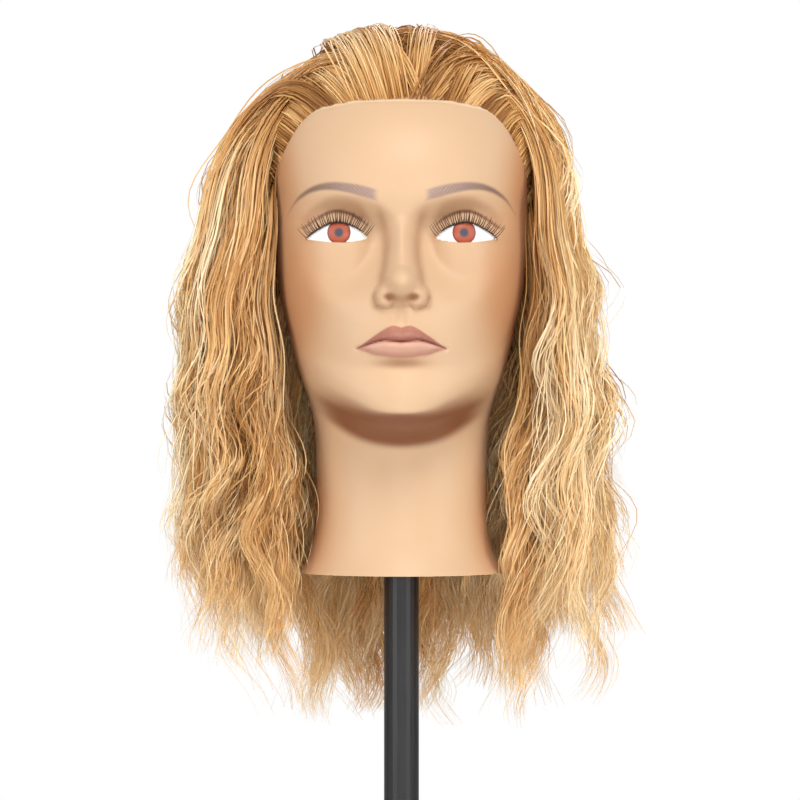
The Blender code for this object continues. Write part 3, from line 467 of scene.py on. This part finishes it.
# points that face down; with the height they place the painted shade under the chin
facing_down = step(-normals[2::3], 0.24, 0.8)
PAINT = {
    "lips": lip_edge(side, height) + in_front,
    # painted shade in the groove between the lips
    "lip_line_shade": 0.6 - np.abs(height - mouth_line(side)) - np.maximum(side - 23.4, 0) + in_front,
    "upper_lip": height - mouth_line(side),
    "brow": brow_edge(side, height) + in_front,
    "brow_stroke": side - 0.9 * (height - 203.5),
    "lash_line": np.where(above_lid > -1.5, 0.8 - above_lid, -9) + in_front - 9 * (1 - lid_span),
    "scalp": hair_edge(points),
    # painted shade on the underside of the chin and jaw, where the light from above doesn't reach
    "under_chin_shade": facing_down * step(height, 48, 74) * (1 - step(height, 98, 112)) * (depth < 20),
    "lid_shadow": lid_span * (depth < FACE_FRONT) * np.exp(-(((above_lid - 9.5) / 5.5) ** 2)),
    # painted shade at the sides of the cheeks, the temples and the sides of the neck, where the light falls
    # off; on the cheeks it also stands for a slight blush
    "side_shade_and_blush": bell(side, height, 56, 150, 17, 40) * (depth < 0)
    + 0.8 * bell(side, height, 66, 215, 12, 30) * (depth < 0)
    + 0.9 * bell(side, height, 50, 30, 13, 34) * (1 - step(height, 66, 84)),
    # painted shade down the sides of the nose, in the wings' creases, in the nostrils, under the nose's tip
    # and under the lower lip
    "nose_and_under_lip_shade": (depth < FACE_FRONT) * (
        0.55 * np.exp(-(((side - nose_side) / 3.3) ** 2))
        * step(height, 146, 158) * (1 - step(height, 188, 202))
        + 0.6 * bell(side, height, 14.6, 146.5, 2.2, 4.5)
        + 0.5 * bell(side, height, 11.5, 142.4, 3.5, 1.8)
        + 1.0 * bell(side, height, 6.4, 147.9, 3.2, 2.0) + 0.55 * bell(side, height, 0, 146.5, 7, 2.8)
        + 0.8 * bell(side, height, 0, 113.2, 16, 3.0)
    ),
    # painted shade in the fold of each upper lid, along the crease above the lashes
    "crease": lid_span * (depth < FACE_FRONT) * np.exp(-(((above_lid - 6.2) / 1.0) ** 2)),
}
for name, values in PAINT.items():
    layer = skin.data.attributes.new(name, "FLOAT", "POINT")
    layer.data.foreach_set("value", np.asarray(values, np.float32))
print("painted areas:", ", ".join(PAINT))


# %% The vinyl material
def srgb(r, g, b):
    """A colour given as 0 to 255 values, made linear."""
    scaled = np.array((r, g, b)) / 255
    return (*np.where(scaled < 0.04045, scaled / 12.92, ((scaled + 0.055) / 1.055) ** 2.4), 1)


vinyl = bpy.data.materials.new("airbrushed_vinyl")
tree, add = nodes_of(vinyl)
shader = tree.nodes["Principled BSDF"]
shader.inputs["Roughness"].default_value = 0.46
shader.inputs["Specular IOR Level"].default_value = 0.38
shader.inputs["Subsurface Weight"].default_value = 0.12
shader.inputs["Subsurface Radius"].default_value = (1.0, 0.45, 0.25)
shader.inputs["Subsurface Scale"].default_value = 0.004
coordinate = add("TexCoord").outputs["Object"]
cloud = add("TexNoise", {"Vector": coordinate, "Scale": 16, "Detail": 3}).outputs["Fac"]


def coat(under, colour, mask):
    return add("Mix", {0: mask, 6: under, 7: colour}, data_type="RGBA").outputs[2]


def soft_mask(name, low, high, strength=1.0):
    value = add("Attribute", attribute_name=name).outputs["Fac"]
    ends = {"Value": value, "From Min": low, "From Max": high, "To Min": 0.0, "To Max": strength}
    return add("MapRange", ends, interpolation_type="SMOOTHSTEP").outputs[0]


def tint(value, low, high):
    return add("MapRange", {"Value": value, "To Min": low, "To Max": high}).outputs[0]


colour = coat(srgb(215, 181, 146), srgb(210, 172, 134), cloud)
# painted shade under the chin and jaw
colour = coat(colour, srgb(124, 66, 34), soft_mask("under_chin_shade", 0.0, 1.0, 0.92))
# brown painted shade at the sides of the face and neck, with a slight blush on the cheeks
colour = coat(colour, srgb(190, 120, 68), soft_mask("side_shade_and_blush", 0.0, 1.0, 0.62))
colour = coat(colour, srgb(156, 96, 56), soft_mask("lid_shadow", 0.0, 1.0, 0.42))
# painted shade in the lids' creases
colour = coat(colour, srgb(112, 66, 44), soft_mask("crease", 0.0, 1.0, 0.7))
# painted shade on the nose and under the lower lip
colour = coat(colour, srgb(146, 88, 50), soft_mask("nose_and_under_lip_shade", 0.0, 1.1, 0.78))
# a lighter band right at the hairline: a painted highlight on the raised edge where the face meets the scalp
hairline_highlight_masks = {0: soft_mask("scalp", -1.3, -0.3), 1: soft_mask("scalp", 0.1, 0.9)}
rim = add("Math", hairline_highlight_masks, operation="SUBTRACT").outputs[0]
colour = coat(colour, srgb(232, 200, 164), rim)
colour = coat(colour, srgb(158, 110, 64), soft_mask("scalp", 0.3, 3.0))
along = add("Attribute", attribute_name="brow_stroke").outputs["Fac"]
unevenness = add("TexNoise", {"Vector": coordinate, "Scale": 240, "Detail": 2}).outputs["Fac"]
fast = add("Math", {0: along, 1: 3.7}, operation="MULTIPLY").outputs[0]
phase = add("Math", {0: unevenness, 1: 11.0, 2: fast}, operation="MULTIPLY_ADD").outputs[0]
strokes = add("Math", {0: phase}, operation="SINE").outputs[0]
PALE_TO_DARK = {"From Min": 16.0, "From Max": 44.0, "To Min": 0.1, "To Max": 1.0}
inner = add("MapRange", {"Value": along, **PALE_TO_DARK}).outputs[0]
pale = coat(srgb(172, 146, 138), srgb(116, 86, 78), inner)
brow_colour = coat(pale, srgb(104, 78, 72), tint(strokes, 0.0, 0.5))
colour = coat(colour, brow_colour, soft_mask("brow", -0.5, 1.5, 0.86))
colour = coat(colour, srgb(58, 34, 26), soft_mask("lash_line", -0.5, 0.4, 0.92))
# the lips are lighter in their middles, which on the lower lip is a painted highlight where it bulges
# towards the light; the upper lip is darker than the lower and darkest beside the line between the lips,
# which is painted shade on a lip that faces down
lip_colour = coat(srgb(194, 138, 118), srgb(214, 164, 142), soft_mask("lips", 0.5, 3.4))
upper_lip_shade_colour = coat(srgb(160, 98, 84), srgb(178, 120, 102), soft_mask("upper_lip", 0.5, 7.0))
lip_colour = coat(lip_colour, upper_lip_shade_colour, soft_mask("upper_lip", -0.3, 0.5))
colour = coat(colour, lip_colour, soft_mask("lips", -0.35, 0.6, 0.95))
# painted shade in the groove between the lips
colour = coat(colour, srgb(112, 52, 44), soft_mask("lip_line_shade", -0.5, 0.9, 0.9))
tree.links.new(colour, shader.inputs["Base Color"])
pores = add("TexNoise", {"Vector": coordinate, "Scale": 1500, "Detail": 2}).outputs["Fac"]
bump = add("Bump", {"Height": pores, "Strength": 0.06, "Distance": 0.0002})
tree.links.new(bump.outputs[0], shader.inputs["Normal"])
skin.data.materials.clear()
skin.data.materials.append(vinyl)
print("vinyl has", len(tree.nodes), "nodes")

# %% [markdown]
# ## The eyes
# Each eye is a cap of hard gloss plastic behind the opening in the skin, with a flat printed iris under
# the gloss. The cap is a ball whose back is cut off with bisect_plane. The iris is drawn by the
# material from the distance to the iris's middle, which keeps its rings perfectly round.

# %% Eye caps
IRIS = (33.0, 182.3)
CAP_BACK = -60.2  # the depth at which the egg is cut off behind the lids
BULGE, BULGE_RADIUS = 0.45, 7.5  # how far the iris stands out, and the reach of that swelling


def eye_cap(name, side):
    bm = bmesh.new()
    bmesh.ops.create_uvsphere(bm, u_segments=72, v_segments=48, radius=1)
    bmesh.ops.rotate(bm, verts=bm.verts, matrix=Matrix.Rotation(math.pi / 2, 3, "X"))
    bmesh.ops.scale(bm, vec=EYE_RADII, verts=bm.verts)
    bmesh.ops.translate(bm, verts=bm.verts, vec=EYE_CENTRE)
    whole = bm.verts[:] + bm.edges[:] + bm.faces[:]
    made = bmesh.ops.bisect_plane(
        bm, geom=whole, plane_co=(0, CAP_BACK, 0), plane_no=(0, 1, 0), clear_outer=True
    )
    rim_edges = [e for e in made["geom_cut"] if isinstance(e, bmesh.types.BMEdge)]
    bmesh.ops.contextual_create(bm, geom=rim_edges)
    for vert in bm.verts:
        off = math.hypot(vert.co.x - IRIS[0], vert.co.z - IRIS[1])
        vert.co.y -= BULGE * max(0, 1 - (off / BULGE_RADIUS) ** 2)
        vert.co.z += NECK_RIM
        vert.co.x *= side
    bmesh.ops.scale(bm, vec=(MM, MM, MM), verts=bm.verts)
    bmesh.ops.recalc_face_normals(bm, faces=bm.faces)
    return new_object(bm, name, 60)


def eye_material(name, side):
    made = bpy.data.materials.new(name)
    tree, add = nodes_of(made)
    shader = tree.nodes["Principled BSDF"]
    shader.inputs["Roughness"].default_value = 0.3
    shader.inputs["Specular IOR Level"].default_value = 0.3
    place = add("TexCoord").outputs["Object"]
    middle = (side * IRIS[0] * MM, 0, (IRIS[1] + NECK_RIM) * MM)
    offset = add("VectorMath", {0: place, 1: middle}, operation="SUBTRACT").outputs[0]
    flat = add("VectorMath", {0: offset, 1: (1000, 0, 1000)}, operation="MULTIPLY").outputs[0]
    radius = add("VectorMath", {0: flat}, operation="LENGTH").outputs["Value"]
    direction = add("VectorMath", {0: flat}, operation="NORMALIZE").outputs[0]
    rays = add("TexNoise", {"Vector": direction, "Scale": 14, "Detail": 3}).outputs["Fac"]
    wobble = add("Math", {0: rays, 1: 0.9, 2: radius}, operation="MULTIPLY_ADD").outputs[0]
    ramp = add("ValToRGB")
    tree.links.new(add("MapRange", {"Value": wobble, "From Max": 10.0}).outputs[0], ramp.inputs[0])
    rings = (
        (0.0, (80, 76, 88)), (0.23, (90, 82, 92)), (0.32, (168, 98, 78)), (0.44, (180, 88, 62)),
        (0.56, (172, 80, 56)), (0.625, (118, 50, 40)), (0.655, (140, 76, 66)), (0.685, (252, 251, 250)),
        (1.0, (252, 251, 250)),
    )
    while len(ramp.color_ramp.elements) < len(rings):
        ramp.color_ramp.elements.new(0.5)
    for element, (place, colour) in zip(ramp.color_ramp.elements, rings):
        element.position, element.color = place, srgb(*colour)
    tree.links.new(ramp.outputs[0], shader.inputs["Base Color"])
    return made


for side, word in ((-1, "right"), (1, "left")):
    cap = eye_cap(f"{word}_eye_cap", side)
    cap.data.materials.append(eye_material(f"{word}_iris_print", side))
    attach(cap, "head")
    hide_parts(f"{word}_eye")
print("two eye caps")

# %% [markdown]
# ## The lashes
# The lashes are stiff fibres set along the upper lid's edge, which fan out over the lid. A fibre is a
# thin cone cut across into short pieces, so that it can bend. bmesh makes one cone per lash, and its
# points are then moved along the lash's curve, up and forward, leaning away from the eye's middle.

# %% Lashes
LASHES_PER_EYE = 34


def one_lash(bm, x, length, lean):
    """Adds a bent, tapered fibre that starts on the lid's edge at x."""
    before = len(bm.verts)
    made = bmesh.ops.create_cone(bm, cap_ends=True, segments=4, radius1=0.38, radius2=0.11, depth=1)
    edges = {e for v in made["verts"] for e in v.link_edges}
    uprights = {e for e in edges if abs(e.verts[0].co.z - e.verts[1].co.z) > 0.5}
    bmesh.ops.subdivide_edges(bm, edges=list(uprights), cuts=5, use_grid_fill=False)
    bm.verts.ensure_lookup_table()
    z = float(spline(x, ALMOND_X, ALMOND_TOP))
    y = float(eye_front(np.array(x), np.array(z))[0]) - LID - 0.1
    for vert in bm.verts[before:]:
        t = vert.co.z + 0.5
        vert.co.x += x + lean * length * t**1.3
        vert.co.y += y - length * (0.72 * t - 0.3 * t * t)
        vert.co.z = z + length * (0.25 * t + 0.62 * t * t)


def lash_row(name, side):
    bm = bmesh.new()
    for x in np.linspace(18.5, 50.0, LASHES_PER_EYE):
        fan = (x - 33.5) / 17
        length = 7.6 - 1.6 * abs(fan) ** 1.5 + rng.uniform(-0.8, 0.5)
        one_lash(bm, x + rng.uniform(-0.25, 0.25), length, 0.85 * fan + rng.uniform(-0.1, 0.1))
    bmesh.ops.translate(bm, verts=bm.verts, vec=(0, 0, NECK_RIM))
    bmesh.ops.scale(bm, vec=(side * MM, MM, MM), verts=bm.verts)
    bmesh.ops.recalc_face_normals(bm, faces=bm.faces)
    return new_object(bm, name)


lash_fibre = bpy.data.materials.new("lash_fibre")
tree, add = nodes_of(lash_fibre)
shader = tree.nodes["Principled BSDF"]
shader.inputs["Roughness"].default_value = 0.5
place = add("TexCoord").outputs["Object"]
fleck = add("TexNoise", {"Vector": place, "Scale": 700}).outputs["Fac"]
tree.links.new(coat(srgb(38, 22, 17), srgb(74, 44, 32), fleck), shader.inputs["Base Color"])
for side, word in ((-1, "right"), (1, "left")):
    row = lash_row(f"{word}_lash_row", side)
    row.data.materials.append(lash_fibre)
    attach(row, "head")
    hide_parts(f"{word}_lashes")
print("two rows of", LASHES_PER_EYE, "lashes")

# %% [markdown]
# ## The hair
# Real hair is thousands of strands, rooted in the vinyl and combed back from the face, which bend over
# the crown and hang in loose waves. Blender could grow it as particles or curves, but a strand that
# has to reach other programs is best a narrow ribbon of faces. Each strand's path has two parts: it
# bends over the crown on an ellipsoid that swells as the strand leaves the scalp, and then it hangs
# down between an inner and an outer shell. Strands are gathered into locks, which share their waves.

# %% The shells that the hair lies between
LEVELS = (-95, -80, -40, 0, 30, 60, 90, 120, 150, 190)
SHELLS = (
    (52, 52, 55, 58, 56, 58, 63, 69, 74, 76), (50, 50, 56, 58, 58, 60, 66, 76, 84, 90),
    (84, 92, 110, 118, 119, 120, 120, 118, 113, 107), (74, 80, 96, 102, 105, 108, 111, 113, 113, 112),
)
CROWN_INNER, CROWN_OUTER = np.array((76.0, 90.0, 95.0)), np.array((107.0, 113.0, 113.0))


def unit(vectors):
    return vectors / np.maximum(np.linalg.norm(vectors, axis=-1, keepdims=True), 1e-9)


def compass(turn):
    """Level directions, for turns from the front towards +X in radians."""
    return np.stack((np.sin(turn), -np.cos(turn), np.zeros_like(turn)), axis=-1)


def crown_point(direction, layer):
    rise = direction[..., 2]
    on_left, on_right = step(direction[..., 0], 0, 0.6), step(-direction[..., 0], 0, 0.6)
    slimmer = (8 + 5 * rise) * on_left - 7 * (1 - rise) * on_right
    outer = CROWN_OUTER - slimmer[..., None] * (1, 0, 0)
    return HAIR_CENTRE + direction * (CROWN_INNER + (outer - CROWN_INNER) * layer[..., None])


def hanging_point(turn, z, layer):
    inner_x, inner_y, outer_x, outer_y = (np.interp(z, LEVELS, row) for row in SHELLS)
    on_left, on_right = step(np.sin(turn), 0, 0.6), step(-np.sin(turn), 0, 0.6)
    outer_x = outer_x - 9 * on_left * step(z, -50, 10) + 7 * on_right * step(z, 95, 150)
    reach_x, reach_y = inner_x + (outer_x - inner_x) * layer, inner_y + (outer_y - inner_y) * layer
    return np.stack((reach_x * np.sin(turn), HAIR_CENTRE[1] - reach_y * np.cos(turn), z), axis=-1)


print("hair lies up to", CROWN_OUTER[0], "mm either side of the head's middle")

# %% Roots
STRANDS, LOCKS, RINGS = 20000, 380, 42


def scatter_roots(count):
    """Random places on the scalp, closer together along the hairline."""
    tries = count * 12
    ring, angle = rng.uniform(5, LAST - 0.1, tries), rng.uniform(-math.pi, math.pi, tries)
    place = np.stack(plain_head(ring, angle), axis=-1)
    along = np.stack(plain_head(ring + 0.01, angle), axis=-1) - place
    around = np.stack(plain_head(ring, angle + 0.01), axis=-1) - place
    above = hair_edge(place)
    front = step(-place[:, 1], -20, 20)
    area = np.linalg.norm(np.cross(along, around), axis=1)
    chance = area * (above > 0) * (1 + 3 * front * np.exp(-((above / 5) ** 2)))
    return place[rng.choice(tries, count, replace=False, p=chance / chance.sum())]


roots = scatter_roots(STRANDS)
guides = roots[:LOCKS]
lock = np.concatenate([np.argmin(np.linalg.norm(part[:, None] - guides, axis=2), axis=1)
                       for part in np.array_split(roots, 12)])
print(STRANDS, "roots in", LOCKS, "locks")

# %% Where each lock hangs
forward = step(-guides[:, 1], -15, 50)
start_turn = np.degrees(np.arctan2(np.abs(guides[:, 0]), -(guides[:, 1] - 2)))
front_turn = 64 + 44 * rng.uniform(0, 1, LOCKS) ** 1.2
straight_back = (np.abs(guides[:, 0]) < 36) & (guides[:, 2] > 235) & (rng.uniform(0, 1, LOCKS) < 0.65)
front_turn = np.where(straight_back, rng.uniform(110, 178, LOCKS), front_turn)
back_turn = np.clip(start_turn, 78, 178)
lock_turn = forward * front_turn + (1 - forward) * back_turn + rng.normal(0, 7, LOCKS)
lock_turn = np.clip(lock_turn, 64, 185) * np.sign(guides[:, 0] + rng.normal(4, 13, LOCKS))
lock_layer = np.clip(rng.uniform(0.02, 1.0, LOCKS) ** 0.75, 0, 1)
behind = step(np.abs(lock_turn), 95, 140)
lock_end = np.clip(rng.normal(-19, 28, LOCKS) - 18 * behind + 8 * lock_layer, -84, 30)
lock_phase = 2.2 * np.radians(lock_turn) + rng.normal(0, 0.6, LOCKS)
lock_wave = np.stack((rng.uniform(60, 76, LOCKS), lock_phase, rng.uniform(5.0, 10.0, LOCKS)), axis=1)
lock_shade = rng.normal(0, 0.12, LOCKS)
print("locks end", round(lock_end.min()), "to", round(lock_end.max()), "mm from the neck's rim")


# %% A strand's path
CROWN_RADIUS = 112  # about how far a strand runs over the crown for each radian that it turns
LIFT_RUN = 42  # how soon a strand leaves the scalp for its own layer
def strand_paths(root, turn, layer, end_z):
    """Points of the strands from root to tip, and their distances from the root."""
    start = unit((root - HAIR_CENTRE) / CROWN_INNER)
    goal = compass(turn)
    swept = step(-start[:, 1], 0.0, 0.75)[:, None]
    bow = (start + goal) / 2 + swept * (0, 0.5, 0.55) + (0, 0, 0.12)
    high = start[:, 2] > 0.02
    over = np.where(high, CROWN_RADIUS * np.arccos(np.clip((start * goal).sum(1), -1, 1)), 0)
    top = np.where(high, HAIR_CENTRE[2], root[:, 2])
    share = np.linspace(0, 1, RINGS)
    run = (over + top - end_z)[:, None] * (1.2 * share - 0.2 * share**2)
    t = np.clip(run / np.maximum(over, 1)[:, None], 0, 1)[..., None]
    bend = unit((1 - t) ** 2 * start[:, None] + 2 * t * (1 - t) * bow[:, None] + t**2 * goal[:, None])
    lifted = layer[:, None] * (1 - np.exp(-run / LIFT_RUN))
    first_turn = np.where(high, turn, np.arctan2(start[:, 0], -start[:, 1]))
    change = (turn - first_turn + math.pi) % (2 * math.pi) - math.pi
    swing = first_turn[:, None] + change[:, None] * step(run, 0, 90)
    z = np.minimum(top[:, None] - (run - over[:, None]), top[:, None])
    on_crown = (run < over[:, None])[..., None]
    path = np.where(on_crown, crown_point(bend, lifted), hanging_point(swing, z, lifted))
    path += (root - path[:, 0])[:, None] * (1 - step(run, 0, 70))[..., None]
    for _ in range(2):
        path[:, 1:-1] = (path[:, :-2] + 2 * path[:, 1:-1] + path[:, 2:]) / 4
    return path, run, run - over[:, None] + (HAIR_CENTRE[2] - top)[:, None]


def waves(path, run, fallen, wave, amount):
    """Adds a lock's wave, sideways and in and out, by how far the hair has fallen."""
    tangent = unit(np.gradient(path, axis=1))
    outside = unit(path - HAIR_CENTRE - (path[..., 2:] < 190) * (path - HAIR_CENTRE) * (0, 0, 1))
    across = unit(np.cross(tangent, outside))
    phase = 2 * math.pi * fallen / wave[:, :1] + wave[:, 1:2]
    size = (wave[:, 2:3] * step(run, 45, 185) * amount[:, None])[..., None]
    return path + size * (np.sin(phase)[..., None] * across + 0.8 * np.cos(phase)[..., None] * outside)


guide_path, guide_run, guide_fallen = strand_paths(guides, np.radians(lock_turn), lock_layer, lock_end)
guide_path = waves(guide_path, guide_run, guide_fallen, lock_wave, np.ones(LOCKS))
print("longest lock", round(guide_run.max()), "mm")

# %% All the strands
stray = rng.uniform(0, 1, STRANDS) < 0.05
turn = lock_turn[lock] + rng.normal(0, 4.5, STRANDS)
turn = np.radians(np.where(np.abs(turn) < 61, 61 * np.sign(turn), turn))
layer = np.clip(lock_layer[lock] + rng.normal(0, 0.1, STRANDS), 0.0, 1.04) + 0.06 * stray
end_z = np.clip(lock_end[lock] + 64 * np.abs(rng.normal(0, 1, STRANDS)) ** 1.2 - 5, -90, 120)
path, run, fallen = strand_paths(roots - unit(roots - HAIR_CENTRE), turn, layer, end_z)
own_wave = lock_wave[lock] + rng.normal(0, 1, (STRANDS, 3)) * (2.4, 0.24, 0.5)
path = waves(path, run, fallen, own_wave, 1 + 0.9 * stray)
grip = np.where(stray, 0.1, 0.96 - 0.5 * rng.uniform(0, 1, STRANDS) ** 2)[:, None] * step(run, 45, 240)
path += (guide_path[lock] - path) * grip[..., None]
MOSTLY_LEVEL = (1, 1, 0.3)
loose_tip = (rng.normal(0, 6, (LOCKS, 3)) * MOSTLY_LEVEL)[lock]
loose_tip = loose_tip + rng.normal(0, 4.5, (STRANDS, 3)) * MOSTLY_LEVEL
path += loose_tip[:, None] * (np.linspace(0, 1, RINGS) ** 4)[:, None]
for length, size in ((88, 0.9), (47, 0.45)):
    phase = rng.uniform(0, 2 * math.pi, (STRANDS, 1, 3))
    path += size * step(run, 15, 120)[..., None] * np.sin(2 * math.pi * run[..., None] / length + phase)
print("strands reach", np.round(path.min(axis=(0, 1))), "to", np.round(path.max(axis=(0, 1))))

# %% Ribbons
PIECES = 9
WIDTH = rng.uniform(0.45, 0.9, (STRANDS, 1))


def ribbon_edges(path, width, twist):
    """The two long edges of each ribbon."""
    tangent = unit(np.gradient(path, axis=1))
    outside = unit(path - HAIR_CENTRE)
    across = unit(np.cross(tangent, outside))
    facing = np.cross(across, tangent)
    half = 0.5 * (width * (1 - 0.8 * np.linspace(0, 1, RINGS) ** 4))[..., None]
    lie = half * (np.cos(twist) * across + np.sin(twist) * facing)
    return np.stack((path - lie, path + lie), axis=2)


def blank_ribbons(count):
    """A sheet cut into count ribbons, each two points wide."""
    bm = bmesh.new()
    bmesh.ops.create_grid(bm, x_segments=2 * count - 1, y_segments=RINGS - 1, size=1)
    bm.faces.ensure_lookup_table()
    gaps = [f for i, f in enumerate(bm.faces) if i % (2 * count - 1) % 2]
    bmesh.ops.delete(bm, geom=gaps, context="FACES")
    return bm


twist = rng.uniform(-1.0, 1.0, (STRANDS, 1, 1)) + 0.5 * np.sin(run / 40)[..., None]
edges = (ribbon_edges(path, WIDTH, twist) + (0, 0, NECK_RIM)) * MM
# each strand and lock has its own random tone, and strands lying deeper in the hair, nearer the scalp, are
# darker: painted shade in the depth of the hair
strand_tone_and_depth_shade = rng.normal(0.57, 0.11, STRANDS) + lock_shade[lock] + 0.22 * (layer - 0.6)
shade = strand_tone_and_depth_shade[:, None] - 0.26 * np.exp(-run / 22) + 0.1 * np.sin(run / 31 + own_wave[:, 1:2])
shade += 0.08 * step(fallen, 40, 200) - 0.2 * (1 - step(fallen, -90, 40))
order = np.argsort(turn)
print("ribbon points:", edges.shape[0] * edges.shape[1] * 2)

# %% Hair pieces
hair = bpy.data.materials.new("golden_hair")
tree, add = nodes_of(hair)
shader = tree.nodes["Principled BSDF"]
shader.inputs["Roughness"].default_value = 0.42
shader.inputs["Specular IOR Level"].default_value = 0.45
shade_value = add("Attribute", attribute_name="shade").outputs["Fac"]
ramp = add("ValToRGB")
SHADES = (
    (0.0, (140, 88, 42)), (0.25, (208, 150, 84)), (0.5, (240, 196, 132)), (0.75, (252, 224, 174)),
    (1.0, (255, 240, 206)),
)
while len(ramp.color_ramp.elements) < len(SHADES):
    ramp.color_ramp.elements.new(0.5)
for element, (place, tone) in zip(ramp.color_ramp.elements, SHADES):
    element.position, element.color = place, srgb(*tone)
tree.links.new(shade_value, ramp.inputs[0])
tree.links.new(ramp.outputs[0], shader.inputs["Base Color"])
for index, members in enumerate(np.array_split(order, PIECES)):
    piece = new_object(blank_ribbons(len(members)), f"hair_strands_{index + 1}")
    mesh = piece.data
    mesh.vertices.foreach_set("co", edges[members].transpose(1, 0, 2, 3).astype(np.float32).ravel())
    tone = mesh.attributes.new("shade", "FLOAT", "POINT")
    both_edges = np.repeat(shade[members].T[..., None], 2, axis=2)
    tone.data.foreach_set("value", both_edges.astype(np.float32).ravel())
    mesh.update()
    mesh.materials.append(hair)
    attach(piece, "head")
    if index == 0:
        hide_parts("hair_crown", "hair_left_side", "hair_right_side", "hair_back")
print("hair in", PIECES, "pieces of", len(piece.data.polygons) * 2, "triangles")

# %% [markdown]
# ## The stand's finishes
# The pole, the clamp and their knobs keep their exact solids, and only need their surfaces. Each finish
# has two tones and a grain. The grain is a noise pattern on Object coordinates, stretched along the
# tube for drawn metal and left even for enamel and moulded plastic, and it drives the tone, the
# roughness and a small bump, so that the light breaks up on it as on the real thing.

# %% Finishes with a grain
def grained(name, dark, light, roughness, metallic=0.0, grain=600, stretch=(1, 1, 1), relief=0.1):
    made = bpy.data.materials.new(name)
    tree, add = nodes_of(made)
    shader = tree.nodes["Principled BSDF"]
    shader.inputs["Metallic"].default_value = metallic
    place = add("Mapping", {"Vector": add("TexCoord").outputs["Object"], "Scale": stretch}).outputs[0]
    fine = add("TexNoise", {"Vector": place, "Scale": grain, "Detail": 4}).outputs["Fac"]
    broad = add("TexNoise", {"Vector": place, "Scale": grain / 14, "Detail": 3}).outputs["Fac"]
    mixed = add("Math", {0: fine, 1: broad}, operation="MULTIPLY").outputs[0]
    shares = add("MapRange", {"Value": mixed, "From Min": 0.12, "From Max": 0.42}).outputs[0]
    tone = add("Mix", {0: shares, 6: srgb(*dark), 7: srgb(*light)}, data_type="RGBA").outputs[2]
    tree.links.new(tone, shader.inputs["Base Color"])
    sheen = {"Value": shares, "To Min": roughness - 0.06, "To Max": roughness + 0.08}
    rough = add("MapRange", sheen).outputs[0]
    tree.links.new(rough, shader.inputs["Roughness"])
    bump = add("Bump", {"Height": fine, "Strength": relief, "Distance": 0.0003})
    tree.links.new(bump.outputs[0], shader.inputs["Normal"])
    return made


satin_tube = grained("satin_black_tube", (20, 19, 20), (34, 32, 34), 0.34, grain=900, stretch=(1, 1, 0.04))
enamel = grained("black_powder_enamel", (24, 24, 26), (38, 38, 40), 0.46, grain=700, relief=0.3)
zinc = grained("zinc_plated_steel", (150, 152, 156), (206, 208, 210), 0.3, 1.0, 700, (1, 1, 0.2))
yellow_brass = grained("turned_brass", (176, 136, 62), (222, 186, 104), 0.3, 1.0, 700, (1, 1, 0.3))
black_rubber = grained("black_rubber", (26, 26, 27), (44, 44, 45), 0.8, grain=1100, relief=0.5)
knob_plastic = grained("moulded_black_plastic", (22, 22, 24), (36, 36, 39), 0.42, grain=1400, relief=0.25)
socket_plastic = grained("moulded_grey_plastic", (92, 93, 96), (122, 123, 126), 0.45, grain=1200, relief=0.2)
pale_foam = grained("pale_foam", (206, 198, 178), (232, 226, 208), 0.9, grain=500, relief=0.8)
FINISHES = (
    (satin_tube, ("pole", "pole_sleeve")),
    (enamel, ("clamp_frame", "tilt_fork", "jaw_pad", "pressure_disc")),
    (zinc, ("tilt_bolt", "tilt_washer", "height_stud", "fork_screw_front", "fork_screw_back")),
    (zinc, ("clamp_screw", "tommy_bar")),
    (yellow_brass, ("thread_insert",)),
    (black_rubber, ("pad_rubber", "pole_foot_plug")),
    (knob_plastic, ("tilt_knob", "height_knob", "pole_top_plug", "bar_cap_left", "bar_cap_right")),
    (socket_plastic, ("neck_plate", "neck_socket", "swivel_bush")),
    (pale_foam, ("foam_core",)),
)
for finish, names in FINISHES:
    for name in names:
        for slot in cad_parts[name].material_slots:
            slot.material = finish
print("finished", sum(len(names) for _, names in FINISHES), "pieces of the stand")

# %% [markdown]
# ## The clamp screw's thread
# A thread is a three-cornered ridge wound round the rod. Spinning one triangle about the rod's middle
# while it climbs by one pitch a turn sweeps out the whole ridge, with both its ends closed.

# %% Thread
PITCH, STEPS_A_TURN = 3.0, 18
low, high = (Vector(corner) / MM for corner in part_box("clamp_screw"))
axis_y = (low.y + high.y) / 2
first_z, last_z = low.z + 21, high.z - 6
bm = bmesh.new()
corner_places = ((5.8, -1.1), (6.7, 0.0), (5.8, 1.1))
bmesh.ops.create_circle(bm, cap_ends=True, segments=3, radius=1)
for vert, (radius, rise) in zip(bm.verts, corner_places):
    vert.co = (radius, axis_y, first_z + rise)
turns = (last_z - first_z) / PITCH
steps = round(turns * STEPS_A_TURN)
bmesh.ops.spin(
    bm, geom=bm.verts[:] + bm.edges[:] + bm.faces[:], cent=(0, axis_y, 0), axis=(0, 0, 1),
    dvec=(0, 0, PITCH * turns / steps), angle=2 * math.pi * turns, steps=steps, use_merge=False,
)
bmesh.ops.scale(bm, vec=(MM, MM, MM), verts=bm.verts)
bmesh.ops.recalc_face_normals(bm, faces=bm.faces)
thread = new_object(bm, "screw_thread", 30)
thread.data.materials.append(zinc)
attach(thread, "screw")
print("thread of", round(turns, 1), "turns")

# %% [markdown]
# ## The end
# The box of the solids was kept when the frame was loaded, to set the floor's height; the last cell
# says that the scene is done.

# %% Finish
print("scene done")
